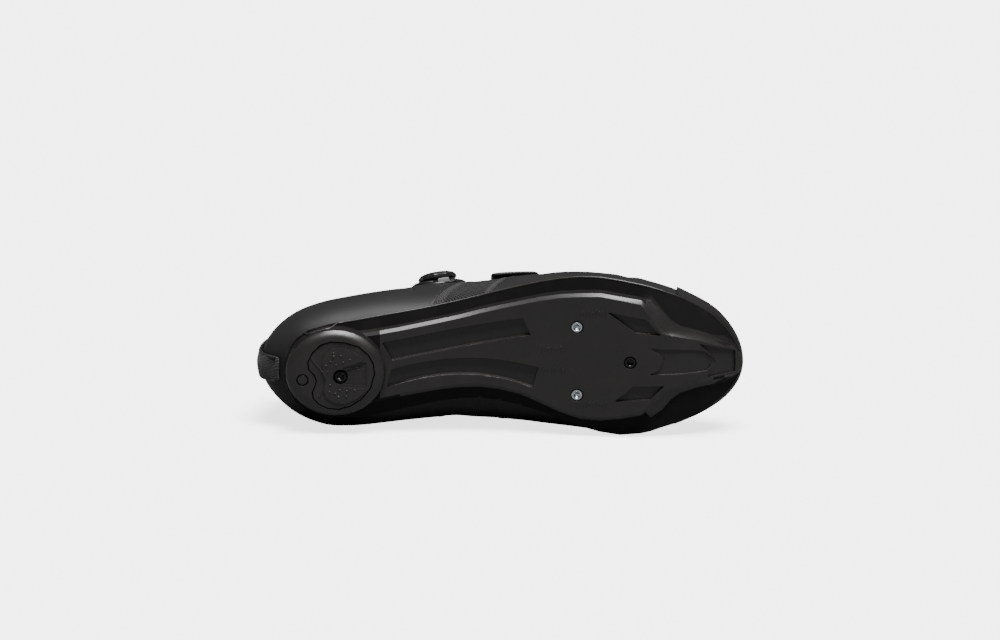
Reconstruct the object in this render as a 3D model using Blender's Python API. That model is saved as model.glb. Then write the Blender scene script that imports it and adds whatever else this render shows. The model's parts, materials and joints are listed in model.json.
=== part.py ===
"""Road cycling shoe for the right foot, lying on its inner side with its sole towards -Y.

The shoe is described upright first: along runs from heel to toe, out runs from the middle
towards the outer side of the foot, and up runs from the floor under the heel to the collar.
The function at() turns those three into +X, +Z and +Y, and an empty then settles the shoe
on the flat of its hull that its weight rests on. All sizes are in metres.
"""
import math
from collections import namedtuple

import bmesh
import bpy
import numpy as np
from mathutils import Matrix, Vector
from mathutils.bvhtree import BVHTree

# Driving sizes
LENGTH = 0.266
BALL_WIDTH = 0.087
ARCH_HEIGHT = 0.012
SIDE_HEIGHT = 0.0085
INSTEP_HEIGHT = 0.080
HEEL_HEIGHT = 0.088
CLEARANCE = 0.0003

# The line inside the upper that bands and dial are measured from
AXIS_OUT = -0.023 * BALL_WIDTH
AXIS_UP = 0.4375 * INSTEP_HEIGHT

# Upper
UPPER_WALL = 0.0018
STEPS_PER_FOLD = 3
LOWER_LEVELS = 3
UPPER_LEVELS = 7
SKIN_SAMPLES = 120
BAND_ANGLES = (8.0, 170.0)
EDGE_ROLL = 0.0008
COLLAR_LEVEL_FROM = 0.35
HEEL_EDGE_SHARE = 1.10
TOE_CAP_THICKNESS = 0.0011
TOE_CAP_LENGTH = 0.037

# Sole
RIM_LIP = 0.0010
RIM_THICKNESS = 0.0012
CHAMFER = 0.0019
TURN_STEP = 0.0035
SHELF_WIDTH = 0.0040
DISH_DEPTH = 0.0022
DISH_RAMP = 0.0070
INSOLE_THICKNESS = 0.0030
INSOLE_MARGIN = 0.0012

# Heel pad
PAD_CENTRE = (0.16165 * LENGTH, -0.0529 * BALL_WIDTH)
PAD_RADII = (0.0274, 0.0246)
PAD_ROUND = 0.0052
PAD_FLANK = 0.0066
PAD_DEEP = 0.0050
INSERT_LOBE_RISE = 0.0007
BUTTON_AT = (PAD_CENTRE[0] - 0.653 * PAD_RADII[0], PAD_CENTRE[1] - 0.138 * PAD_RADII[1])
BUTTON_RADIUS = 0.0030
SCREW_AT = (PAD_CENTRE[0] + 0.102 * PAD_RADII[0], PAD_CENTRE[1] - 0.069 * PAD_RADII[1])
SCREW_RADIUS = 0.0034
SCREW_WELL_RADIUS = 0.0042
SCREW_WELL_DEPTH = 0.0034
NOTCH_DEPTH = 0.0014

# Three bolt cleat pattern
CLEAT_BOLT_SPREAD = 0.0380
CLEAT_BOLT_REACH = 0.0290
CLEAT_MIDDLE = (0.6575 * LENGTH, 0.0172 * BALL_WIDTH)
NUT_RADIUS = 0.0032
NUT_BORE = 0.0016
NUT_DEPTH = 0.0032
NUT_SUNK = 0.0004

# Relief of the sole
RELIEF_DEPTH = 0.0026
CHANNEL_FLARE = 0.0007
TIP_FLARE = 0.0016
CUT_PAST = 0.0100
HOLLOW_WIDTH = 0.40
HOLLOW_NEAR_RISE = 0.90
HOLLOW_FAR_RISE = 0.95
POCKET_EDGE = 0.04
POCKET_DEPTH = 0.0014

# Tongue, strap and tape
TONGUE_THICKNESS = 0.0040
TONGUE_SPAN = (0.4023 * LENGTH, 0.7444 * LENGTH)
TONGUE_HALF_WIDTH = 0.0205
STRAP_WIDTH = 0.0270
STRAP_THICKNESS = 0.0026
STRAP_AT = 0.5301 * LENGTH
TAPE_WIDTH = 0.0145
TAPE_THICKNESS = 0.0012

# Lace dial
DIAL_AT = 0.3722 * LENGTH
DIAL_ANGLE = 44.0
DIAL_FACE_UP = 22.0
DIAL_FACE_BACK = 9.0
DIAL_RADIUS = 0.0104
DIAL_HEIGHT = 0.0042
DIAL_BASE_HEIGHT = 0.0026
DIAL_BASE_RADII = (0.0112, 0.0096)
DIAL_BASE_BACK = 0.0036
DIAL_GRIPS = 18
HOUSING_SIZE = (0.0064, 0.0022, 0.0034)
HOUSING_AHEAD = 0.0030
GUIDE_SIZE = (0.0100, 0.0065, 0.0024)
GUIDE_SPOTS = (("lace_guide_rear", 0.3910 * LENGTH, 120.0), ("lace_guide_outer", 0.4305 * LENGTH, 60.0),
               ("lace_guide_front", 0.4530 * LENGTH, 118.0))
LACE_RADIUS = 0.0006

SoleRow = namedtuple("SoleRow", "along rim_out rim_in flat_out flat_in under rise near pocket")

# Along is a share of LENGTH, the four widths of BALL_WIDTH, under of ARCH_HEIGHT and
# rise, which is from the flat under the sole up to its rim, of SIDE_HEIGHT. Near is how far the
# hollow of the side begins from the chamfer, as a share of the side's width, and pocket how far
# that hollow has become the step of the toe's pockets.
SOLE_ROWS = (
    SoleRow(0.0575, 0.000, -0.140, -0.030, -0.090, 0.75, 0.80, 0.06, 0.0),
    SoleRow(0.0640, 0.065, -0.200, 0.000, -0.130, 0.75, 0.80, 0.06, 0.0),
    SoleRow(0.0790, 0.135, -0.275, 0.070, -0.195, 0.74, 0.80, 0.06, 0.0),
    SoleRow(0.1050, 0.190, -0.335, 0.130, -0.262, 0.72, 0.81, 0.06, 0.0),
    SoleRow(0.1500, 0.230, -0.374, 0.165, -0.295, 0.68, 0.83, 0.06, 0.0),
    SoleRow(0.2000, 0.256, -0.372, 0.160, -0.275, 0.67, 0.87, 0.06, 0.0),
    SoleRow(0.2530, 0.285, -0.348, 0.180, -0.231, 0.69, 0.90, 0.06, 0.0),
    SoleRow(0.3350, 0.325, -0.298, 0.225, -0.184, 0.82, 0.93, 0.06, 0.0),
    SoleRow(0.4170, 0.375, -0.260, 0.275, -0.152, 0.96, 0.94, 0.06, 0.0),
    SoleRow(0.4580, 0.405, -0.258, 0.306, -0.151, 1.00, 0.94, 0.06, 0.0),
    SoleRow(0.5400, 0.471, -0.300, 0.366, -0.192, 0.84, 0.98, 0.06, 0.0),
    SoleRow(0.6230, 0.528, -0.381, 0.420, -0.301, 0.53, 1.03, 0.06, 0.0),
    SoleRow(0.6640, 0.543, -0.424, 0.431, -0.338, 0.37, 1.05, 0.06, 0.0),
    SoleRow(0.7050, 0.543, -0.457, 0.436, -0.344, 0.23, 1.06, 0.06, 0.0),
    SoleRow(0.7460, 0.526, -0.473, 0.416, -0.330, 0.12, 1.05, 0.06, 0.0),
    SoleRow(0.7880, 0.502, -0.461, 0.390, -0.302, 0.05, 1.03, 0.06, 0.0),
    SoleRow(0.7980, 0.495, -0.454, 0.352, -0.276, 0.044, 1.025, 0.20, 0.2),
    SoleRow(0.8090, 0.486, -0.446, 0.300, -0.240, 0.04, 1.02, 0.45, 0.6),
    SoleRow(0.8320, 0.463, -0.421, 0.203, -0.168, 0.07, 1.00, 0.46, 1.0),
    SoleRow(0.8500, 0.442, -0.406, 0.190, -0.144, 0.13, 0.99, 0.27, 1.0),
    SoleRow(0.8690, 0.420, -0.390, 0.176, -0.128, 0.21, 0.97, 0.15, 1.0),
    SoleRow(0.9100, 0.349, -0.340, 0.145, -0.108, 0.52, 0.93, 0.13, 1.0),
    SoleRow(0.9380, 0.286, -0.292, 0.110, -0.100, 0.80, 0.89, 0.16, 1.0),
    SoleRow(0.9610, 0.207, -0.245, 0.090, -0.094, 1.08, 0.86, 0.20, 0.7),
    SoleRow(0.9770, 0.135, -0.194, 0.074, -0.092, 1.28, 0.84, 0.20, 0.3),
    SoleRow(0.9880, 0.070, -0.146, 0.040, -0.086, 1.42, 0.83, 0.20, 0.0),
    SoleRow(0.9955, 0.014, -0.092, 0.006, -0.064, 1.50, 0.82, 0.20, 0.0),
)

UpperRow = namedtuple("UpperRow", "side along swell belly edge_along edge_out edge_up dip full")

# Each row is a fold of the upper from the sole's rim to the collar or throat. Side is 1 for
# the outer side, -1 for the inner and 0 at the ends. Along, edge_along: shares of LENGTH.
# Swell and edge_out: of BALL_WIDTH. Belly, the height of the widest place, and edge_up: of
# INSTEP_HEIGHT. Dip is the slope, in degrees, of the wall where it leaves the edge, and full
# is how long the wall keeps upright above its widest place.
UPPER_ROWS = (
    UpperRow(0, 0.0575, 0.178, 0.40, 0.034, -0.060, 1.10, 96.0, 0.50),
    UpperRow(1, 0.0850, 0.106, 0.42, 0.062, 0.070, 1.07, 92.0, 0.50),
    UpperRow(1, 0.1500, 0.100, 0.44, 0.145, 0.175, 0.97, 86.0, 0.50),
    UpperRow(1, 0.2450, 0.100, 0.46, 0.255, 0.240, 0.90, 80.0, 0.50),
    UpperRow(1, 0.3500, 0.072, 0.48, 0.350, 0.240, 1.02, 62.0, 0.48),
    UpperRow(1, 0.4600, 0.044, 0.48, 0.470, 0.150, 1.00, 42.0, 0.46),
    UpperRow(1, 0.5800, 0.010, 0.44, 0.580, 0.120, 0.85, 33.0, 0.46),
    UpperRow(1, 0.6900, -0.010, 0.40, 0.665, 0.095, 0.765, 26.0, 0.46),
    UpperRow(1, 0.8000, -0.006, 0.38, 0.706, 0.056, 0.738, 21.0, 0.46),
    UpperRow(1, 0.8900, 0.006, 0.38, 0.716, 0.026, 0.732, 18.0, 0.48),
    UpperRow(1, 0.9560, 0.022, 0.40, 0.719, 0.012, 0.730, 16.5, 0.50),
    UpperRow(0, 0.9955, 0.020, 0.41, 0.720, 0.000, 0.730, 16.0, 0.50),
    UpperRow(-1, 0.9560, 0.034, 0.40, 0.719, -0.014, 0.730, 16.5, 0.50),
    UpperRow(-1, 0.8900, 0.030, 0.38, 0.716, -0.028, 0.732, 18.0, 0.46),
    UpperRow(-1, 0.8000, 0.024, 0.38, 0.706, -0.056, 0.738, 21.0, 0.42),
    UpperRow(-1, 0.6900, 0.043, 0.36, 0.665, -0.100, 0.760, 26.0, 0.40),
    UpperRow(-1, 0.5800, 0.130, 0.38, 0.580, -0.145, 0.840, 33.0, 0.38),
    UpperRow(-1, 0.4600, 0.180, 0.40, 0.470, -0.190, 0.985, 42.0, 0.36),
    UpperRow(-1, 0.3500, 0.155, 0.42, 0.350, -0.265, 1.03, 62.0, 0.40),
    UpperRow(-1, 0.2450, 0.110, 0.34, 0.255, -0.305, 0.93, 80.0, 0.42),
    UpperRow(-1, 0.1500, 0.100, 0.32, 0.145, -0.275, 0.98, 86.0, 0.44),
    UpperRow(-1, 0.0850, 0.108, 0.38, 0.062, -0.190, 1.07, 92.0, 0.48),
)

TongueRow = namedtuple("TongueRow", "along up half sag")

# The tongue's free end. Along is a share of LENGTH, up, at its middle, of INSTEP_HEIGHT, half,
# its half width, and sag, how far its edges hang below the middle, of BALL_WIDTH
TONGUE_ROWS = (
    TongueRow(0.302, 1.40, 0.165, 0.050),
    TongueRow(0.313, 1.28, 0.190, 0.060),
    TongueRow(0.331, 1.15, 0.205, 0.070),
    TongueRow(0.353, 1.05, 0.208, 0.070),
    TongueRow(0.377, 0.985, 0.212, 0.070),
)


def at(along, out, up):
    """Turn a place on the upright shoe into the lying shoe's own axes."""
    return Vector((along, up, out))


def clear_scene():
    for item in list(bpy.data.objects):
        bpy.data.objects.remove(item, do_unlink=True)


def material(name, colour, roughness, metallic=0.0):
    made = bpy.data.materials.new(name)
    made.use_nodes = True
    shader = made.node_tree.nodes["Principled BSDF"]
    shader.inputs["Base Color"].default_value = (*colour, 1.0)
    shader.inputs["Roughness"].default_value = roughness
    shader.inputs["Metallic"].default_value = metallic
    return made


def add_object(name, mesh_data, look):
    mesh = bpy.data.meshes.new(name)
    mesh_data.to_mesh(mesh)
    mesh_data.free()
    mesh.materials.append(look)
    item = bpy.data.objects.new(name, mesh)
    bpy.context.collection.objects.link(item)
    return item


def finish(name, mesh_data, look):
    bmesh.ops.triangulate(mesh_data, faces=mesh_data.faces[:])
    bmesh.ops.recalc_face_normals(mesh_data, faces=mesh_data.faces[:])
    if mesh_data.calc_volume(signed=True) < 0.0:
        bmesh.ops.reverse_faces(mesh_data, faces=mesh_data.faces[:])
    item = add_object(name, mesh_data, look)
    item.data.shade_smooth()
    item.data.set_sharp_from_angle(angle=math.radians(32))
    return item


def loft(name, sections, look, closed=False, fan=False):
    """One closed solid through loops of the same number of points."""
    made = bmesh.new()
    rings = [[made.verts.new(place) for place in section] for section in sections]
    count = len(rings[0])
    pairs = list(zip(rings, rings[1:]))
    if closed:
        pairs.append((rings[-1], rings[0]))
    for first, second in pairs:
        for index in range(count):
            after = (index + 1) % count
            made.faces.new((first[index], first[after], second[after], second[index]))
    if not closed and not fan:
        made.faces.new(list(reversed(rings[0])))
        made.faces.new(rings[-1])
    if fan:
        for ring in (rings[0], rings[-1]):
            middle = made.verts.new(sum((corner.co for corner in ring), Vector()) / count)
            for index in range(count):
                made.faces.new((middle, ring[index], ring[(index + 1) % count]))
    return finish(name, made, look)


def slab(name, lower, upper, look):
    """One closed solid between two grids of rows and columns."""
    sections = [list(low) + list(reversed(high)) for low, high in zip(lower, upper)]
    return loft(name, sections, look)


def boolean(item, cutter, operation):
    step = item.modifiers.new(operation.lower(), "BOOLEAN")
    step.operation = operation
    step.solver = "EXACT"
    step.object = cutter
    cutter.hide_render = True
    cutter.display_type = "WIRE"


def smooth(row_places, row_values, place):
    """A curve through the rows that never swings past them."""
    steps = np.diff(row_places)
    slopes = np.diff(row_values) / steps
    rates = np.zeros(len(row_places))
    rates[0] = slopes[0]
    rates[-1] = slopes[-1]
    for index in range(1, len(rates) - 1):
        before = slopes[index - 1]
        after = slopes[index]
        if before * after > 0.0:
            rates[index] = 2.0 * before * after / (before + after)
    index = int(np.clip(np.searchsorted(row_places, place) - 1, 0, len(steps) - 1))
    step = steps[index]
    share = (np.clip(place, row_places[0], row_places[-1]) - row_places[index]) / step
    first = (1 + 2 * share) * (1 - share) ** 2 * row_values[index]
    second = share * (1 - share) ** 2 * step * rates[index]
    third = share ** 2 * (3 - 2 * share) * row_values[index + 1]
    fourth = share ** 2 * (share - 1) * step * rates[index + 1]
    return float(first + second + third + fourth)


def column(rows, field, unit):
    places = np.array([row.along * LENGTH for row in rows])
    values = np.array([getattr(row, field) * unit for row in rows])
    return lambda along: smooth(places, values, along)


rim_out = column(SOLE_ROWS, "rim_out", BALL_WIDTH)
rim_in = column(SOLE_ROWS, "rim_in", BALL_WIDTH)
flat_out = column(SOLE_ROWS, "flat_out", BALL_WIDTH)
flat_in = column(SOLE_ROWS, "flat_in", BALL_WIDTH)
under = column(SOLE_ROWS, "under", ARCH_HEIGHT)
rise = column(SOLE_ROWS, "rise", SIDE_HEIGHT)
hollow_near = column(SOLE_ROWS, "near", 1.0)
toe_pocket = column(SOLE_ROWS, "pocket", 1.0)
HEEL_END = SOLE_ROWS[0].along * LENGTH
TOE_END = SOLE_ROWS[-1].along * LENGTH


def rim_up(along):
    return under(along) + rise(along)


def top_profile(along):
    """The sole's upper face across one section: its rims, shelves and dished floor."""
    middle = 0.5 * (rim_out(along) + rim_in(along))
    half = 0.5 * (rim_out(along) - rim_in(along))
    shelf = min(SHELF_WIDTH, 0.3 * half)
    ramp = min(DISH_RAMP, 0.3 * half)
    depth = DISH_DEPTH * ramp / DISH_RAMP
    high = rim_up(along)
    low = high - depth
    floor = half - shelf - ramp
    return ([middle - half, middle - half + shelf, middle - floor, middle + floor,
             middle + half - shelf, middle + half], [high, high, low, low, high, high])


def turned_by(edge, along):
    """How much wider the chamfer runs across a section where the flat's edge turns."""
    slope = (edge(along + TURN_STEP) - edge(along - TURN_STEP)) / (2.0 * TURN_STEP)
    return math.hypot(1.0, slope)


def wall_profile(along, rim, flat, turn):
    """Half of a section, from the rim over the hollow side to the flat underneath."""
    base = under(along)
    top = rim_up(along)
    side = math.copysign(1.0, rim - flat)
    width = abs(rim - flat)
    chamfer = min(CHAMFER * turn, 0.25 * width)
    lip = top - RIM_THICKNESS
    edge_up = base + 0.9 * chamfer / turn
    near = hollow_near(along)
    pocket = toe_pocket(along)
    far = near + (1.0 - pocket) * HOLLOW_WIDTH + pocket * POCKET_EDGE
    near_up = (1.0 - pocket) * (base + HOLLOW_NEAR_RISE * (lip - base)) + pocket * (
        edge_up + near * (lip - edge_up))
    far_up = (1.0 - pocket) * (base + HOLLOW_FAR_RISE * (lip - base)) + pocket * (near_up + POCKET_DEPTH)
    return [
        (rim, top),
        (rim, lip),
        (flat + side * (chamfer + far * (width - chamfer)), far_up),
        (flat + side * (chamfer + near * (width - chamfer)), near_up),
        (flat + side * chamfer, edge_up),
        (flat, base),
    ]


def sole_section(along):
    outer = wall_profile(along, rim_out(along), flat_out(along), turned_by(flat_out, along))
    inner = wall_profile(along, rim_in(along), flat_in(along), turned_by(flat_in, along))
    outs, ups = top_profile(along)
    profile = outer + list(reversed(inner)) + list(zip(outs, ups))[1:-1]
    return [at(along, out, up) for out, up in profile]


def spread(first, last, count):
    return [first + (last - first) * index / (count - 1) for index in range(count)]


def sole_stations():
    rows = [row.along * LENGTH for row in SOLE_ROWS]
    between = []
    for first, second in zip(rows, rows[1:]):
        if second - first > 0.014:
            between.append(0.5 * (first + second))
    return sorted(rows + between)


ReliefRow = namedtuple("ReliefRow", "along out along_far out_far depth")

# Each table is a hollow moulded into the sole, as rows across it: one edge and the edge facing
# it as shares of LENGTH and BALL_WIDTH, and the depth as a share of RELIEF_DEPTH.
OUTER_CHANNEL = (
    ReliefRow(0.2594, 0.1184, 0.2774, 0.0184, 1.0), ReliefRow(0.4032, 0.1977, 0.4192, 0.0989, 1.0),
    ReliefRow(0.5470, 0.2736, 0.5609, 0.1805, 1.0),
)
INNER_CHANNEL = (
    ReliefRow(0.2763, -0.0517, 0.2677, -0.1552, 1.0), ReliefRow(0.4267, 0.0115, 0.4173, -0.0759, 1.0),
    ReliefRow(0.5771, -0.0437, 0.5669, -0.1563, 1.0),
)
OUTER_LOZENGE = (
    ReliefRow(0.7211, 0.3379, 0.7226, 0.3310, 0.9), ReliefRow(0.7594, 0.3172, 0.7500, 0.2701, 0.9),
    ReliefRow(0.7989, 0.2954, 0.7763, 0.2092, 0.9), ReliefRow(0.8158, 0.2356, 0.8045, 0.2000, 0.9),
    ReliefRow(0.8289, 0.1954, 0.8271, 0.1920, 0.9),
)
INNER_LOZENGE = (
    ReliefRow(0.7368, -0.2299, 0.7361, -0.2368, 0.9), ReliefRow(0.7556, -0.1839, 0.7707, -0.2299, 0.9),
    ReliefRow(0.7726, -0.1368, 0.8071, -0.2207, 0.9), ReliefRow(0.8045, -0.1345, 0.8214, -0.1782, 0.9),
    ReliefRow(0.8338, -0.1333, 0.8353, -0.1379, 0.9),
)
TOE_CHANNEL = (
    ReliefRow(0.8338, 0.0575, 0.8338, 0.0299, 0.42), ReliefRow(0.8353, 0.1023, 0.8353, -0.0598, 0.42),
    ReliefRow(0.8722, 0.0954, 0.8722, -0.0598, 0.42), ReliefRow(0.8985, 0.0874, 0.8985, -0.0575, 0.42),
    ReliefRow(0.9173, 0.0759, 0.9248, -0.0529, 0.42), ReliefRow(0.9398, 0.0172, 0.9417, 0.0000, 0.62),
)
OUTER_TAIL = (
    ReliefRow(0.8090, 0.1103, 0.8094, 0.1080, 0.42), ReliefRow(0.8252, 0.1057, 0.8252, 0.0782, 0.42),
    ReliefRow(0.8368, 0.1011, 0.8368, 0.0368, 0.42),
)
INNER_TAIL = (
    ReliefRow(0.8071, -0.0575, 0.8068, -0.0598, 0.42), ReliefRow(0.8252, -0.0322, 0.8252, -0.0598, 0.42),
    ReliefRow(0.8368, 0.0460, 0.8368, -0.0598, 0.42),
)
TOE_TIP = (
    ReliefRow(0.9140, 0.1195, 0.9800, 0.0598, 0.62), ReliefRow(0.9455, 0.0115, 0.9800, -0.0100, 0.62),
    ReliefRow(0.9310, -0.0943, 0.9800, -0.0805, 0.62),
)


def tapered(name, rows, look, flare=0.0):
    """A cutter from rows of (edge, far edge, depth), wider by flare at the sole's face."""
    sections = []
    for (along_a, out_a), (along_b, out_b), depth in rows:
        up_a = under(along_a)
        up_b = under(along_b)
        share = flare / math.hypot(along_a - along_b, out_a - out_b)
        wide_a = along_a + share * (along_a - along_b), out_a + share * (out_a - out_b)
        wide_b = along_b - share * (along_a - along_b), out_b - share * (out_a - out_b)
        sections.append([
            at(along_a, out_a, up_a + depth), at(along_b, out_b, up_b + depth),
            at(*wide_b, up_b), at(*wide_b, up_b - CUT_PAST),
            at(*wide_a, up_a - CUT_PAST), at(*wide_a, up_a)])
    return loft(name, sections, look)


def relief(name, table, look, steps=0, flare=0.0):
    """A hollow from its table, on curves through the three rows of a long one."""
    rows = [((row.along * LENGTH, row.out * BALL_WIDTH), (row.along_far * LENGTH, row.out_far * BALL_WIDTH),
             row.depth * RELIEF_DEPTH) for row in table]
    if steps:
        (edge_a, far_a, depth), (edge_b, far_b, _), (edge_c, far_c, _) = rows
        rows = [(curve3(edge_a, edge_b, edge_c, share), curve3(far_a, far_b, far_c, share), depth)
                for share in spread(0.0, 1.0, steps)]
    return tapered(name, rows, look, flare)


def disc(name, centre, radii, heights, look, sides=32):
    """A turned pad: radii are shares of the two given ones at each height."""
    sections = []
    for share, up in heights:
        ring = []
        for index in range(sides):
            angle = 2.0 * math.pi * index / sides
            ring.append(at(centre[0] + share * radii[0] * math.cos(angle),
                           centre[1] + share * radii[1] * math.sin(angle), up))
        sections.append(ring)
    return loft(name, sections, look, closed=False)


def curve3(first, middle, last, share):
    """A parabola through three places at the shares 0, a half and 1."""
    weights = ((1 - share) * (1 - 2 * share), 4 * share * (1 - share), share * (2 * share - 1))
    return tuple(weights[0] * a + weights[1] * b + weights[2] * c for a, b, c in zip(first, middle, last))


def pad_shape(look):
    """The heel pad: a round boss whose flank falls away in a soft curve."""
    top = under(PAD_CENTRE[0]) + 0.45 * rise(PAD_CENTRE[0])
    inset = PAD_FLANK / PAD_RADII[1]
    heights = [
        (1.0 - inset, 0.0),
        (1.0 - 0.62 * inset, 0.08 * PAD_ROUND),
        (1.0 - 0.32 * inset, 0.26 * PAD_ROUND),
        (1.0 - 0.10 * inset, 0.58 * PAD_ROUND),
        (1.0, PAD_ROUND),
        (1.0, top),
    ]
    return disc("pad_form", PAD_CENTRE, PAD_RADII, heights, look, sides=32)


InsertPoint = namedtuple("InsertPoint", "along out")

# Outline of the heel insert as shares of the pad's two radii from the pad's centre
INSERT_OUTLINE = (
    InsertPoint(0.78, 0.00), InsertPoint(0.755, 0.235), InsertPoint(0.665, 0.42),
    InsertPoint(0.475, 0.61), InsertPoint(0.20, 0.71), InsertPoint(-0.09, 0.73),
    InsertPoint(-0.28, 0.66), InsertPoint(-0.45, 0.48), InsertPoint(-0.545, 0.27),
    InsertPoint(-0.53, 0.10), InsertPoint(-0.42, -0.03), InsertPoint(-0.375, -0.16),
    InsertPoint(-0.41, -0.30), InsertPoint(-0.46, -0.42), InsertPoint(-0.44, -0.56),
    InsertPoint(-0.33, -0.70), InsertPoint(-0.15, -0.79), InsertPoint(0.06, -0.81),
    InsertPoint(0.30, -0.74), InsertPoint(0.53, -0.57), InsertPoint(0.70, -0.33),
)


def insert_ring(grow, up):
    """The insert's outline moved out by grow at one height."""
    places = [Vector((PAD_CENTRE[0] + point.along * PAD_RADII[0],
                      PAD_CENTRE[1] + point.out * PAD_RADII[1])) for point in INSERT_OUTLINE]
    count = len(places)
    ring = []
    for index, place in enumerate(places):
        along = places[(index + 1) % count] - places[index - 1]
        normal = Vector((along.y, -along.x)).normalized()
        moved = place + grow * normal
        ring.append(at(moved.x, moved.y, up))
    return ring


def build_outsole(look, hidden):
    sections = [sole_section(along) for along in sole_stations()]
    outsole = loft("outsole", sections, look, fan=True)
    boolean(outsole, pad_shape(hidden), "UNION")
    outline = loft("insert_well", [insert_ring(CLEARANCE, -CUT_PAST), insert_ring(CLEARANCE, PAD_DEEP)],
                   hidden)
    boolean(outsole, outline, "DIFFERENCE")
    well = disc("button_well", BUTTON_AT, (BUTTON_RADIUS, BUTTON_RADIUS),
                [(1.12, -CUT_PAST), (1.12, 0.0022)], hidden, sides=20)
    boolean(outsole, well, "DIFFERENCE")
    for cutter in relief_cutters(hidden):
        boolean(outsole, cutter, "DIFFERENCE")
    for name, along, out in cleat_bolts():
        hole = disc(name + "_hole", (along, out), (NUT_RADIUS, NUT_RADIUS),
                    [(1.0 + CLEARANCE / NUT_RADIUS, -CUT_PAST),
                     (1.0 + CLEARANCE / NUT_RADIUS, under(along) + NUT_DEPTH + CLEARANCE)],
                    hidden, sides=20)
        boolean(outsole, hole, "DIFFERENCE")
    return outsole


def relief_cutters(look):
    return [
        relief("outer_channel", OUTER_CHANNEL, look, 7, CHANNEL_FLARE),
        relief("inner_channel", INNER_CHANNEL, look, 9, CHANNEL_FLARE),
        relief("outer_lozenge", OUTER_LOZENGE, look),
        relief("inner_lozenge", INNER_LOZENGE, look),
        relief("toe_channel", TOE_CHANNEL, look),
        relief("toe_channel_outer_tail", OUTER_TAIL, look),
        relief("toe_channel_inner_tail", INNER_TAIL, look),
        relief("toe_tip", TOE_TIP, look, 0, TIP_FLARE),
    ]


LobePoint = namedtuple("LobePoint", "along out")

# Outline of the insert's raised part with its two lobes, as shares of the pad's radii
LOBES = (
    LobePoint(-0.185, 0.490), LobePoint(-0.060, 0.590), LobePoint(0.110, 0.605), LobePoint(0.330, 0.530),
    LobePoint(0.560, 0.375), LobePoint(0.540, 0.290), LobePoint(0.300, 0.195), LobePoint(0.155, 0.160),
    LobePoint(0.110, -0.290), LobePoint(0.600, -0.330), LobePoint(0.560, -0.440), LobePoint(0.420, -0.570),
    LobePoint(0.180, -0.680), LobePoint(-0.020, -0.660), LobePoint(-0.180, -0.540),
    LobePoint(-0.230, -0.400), LobePoint(-0.190, -0.150), LobePoint(-0.240, 0.080), LobePoint(-0.260, 0.300),
)

NOTCH = (
    LobePoint(0.155, 0.060), LobePoint(0.480, 0.225), LobePoint(0.620, 0.270), LobePoint(0.620, -0.280),
    LobePoint(0.155, -0.230),
)


def pad_place(point):
    return PAD_CENTRE[0] + point.along * PAD_RADII[0], PAD_CENTRE[1] + point.out * PAD_RADII[1]


def prism(name, points, low, high, look):
    """A plate of the given outline on the heel pad."""
    places = [pad_place(point) for point in points]
    return loft(name, [[at(along, out, up) for along, out in places] for up in (high, low)], look)


def build_heel_insert(look, hidden):
    insert = loft("heel_insert", [
        insert_ring(0.0, PAD_DEEP - CLEARANCE), insert_ring(0.0, 2.0 * INSERT_LOBE_RISE),
        insert_ring(-INSERT_LOBE_RISE, 0.0)], look)
    ground = loft("insert_ground", [
        insert_ring(CUT_PAST, -CUT_PAST), insert_ring(CUT_PAST, INSERT_LOBE_RISE)], hidden)
    boolean(ground, prism("insert_lobes", LOBES, -2.0 * CUT_PAST, CUT_PAST, hidden), "DIFFERENCE")
    boolean(insert, ground, "DIFFERENCE")
    boolean(insert, prism("insert_notch", NOTCH, -CUT_PAST, NOTCH_DEPTH, hidden), "DIFFERENCE")
    well = disc("screw_well", SCREW_AT, (SCREW_WELL_RADIUS, SCREW_WELL_RADIUS),
                [(1.0, -CUT_PAST), (1.0, SCREW_WELL_DEPTH)], hidden, sides=24)
    boolean(insert, well, "DIFFERENCE")
    return insert


def cleat_bolts():
    along, out = CLEAT_MIDDLE
    half = 0.5 * CLEAT_BOLT_SPREAD
    return (
        ("cleat_nut_outer", along, out + half),
        ("cleat_nut_inner", along, out - half),
        ("cleat_nut_front", along + CLEAT_BOLT_REACH, out),
    )


def ring_solid(name, centre, profile, look, sides=20):
    """A ring with a hole: profile is a closed loop of (radius, up)."""
    sections = []
    for index in range(sides):
        angle = 2.0 * math.pi * index / sides
        sections.append([at(centre[0] + radius * math.cos(angle),
                            centre[1] + radius * math.sin(angle), up) for radius, up in profile])
    return loft(name, sections, look, closed=True)


def build_nuts(steel, dark):
    nuts = []
    for name, along, out in cleat_bolts():
        low = under(along) + NUT_SUNK
        high = under(along) + NUT_DEPTH
        edge = 0.0004
        profile = [(NUT_BORE, low + edge), (NUT_BORE + edge, low), (NUT_RADIUS - edge, low),
                   (NUT_RADIUS, low + edge), (NUT_RADIUS, high), (NUT_BORE, high)]
        look = dark if name.endswith("front") else steel
        nuts.append(ring_solid(name, (along, out), profile, look))
    return nuts


def build_button(look):
    return disc("heel_button", BUTTON_AT, (BUTTON_RADIUS, BUTTON_RADIUS),
                [(0.80, 0.0003), (0.97, 0.0007), (1.0, 0.0012), (1.0, 0.0019)], look, sides=20)


def build_screw(look):
    return disc("heel_screw", SCREW_AT, (SCREW_RADIUS, SCREW_RADIUS),
                [(0.80, 0.0012), (1.0, 0.0018), (1.0, 0.0031)], look, sides=20)


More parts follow.
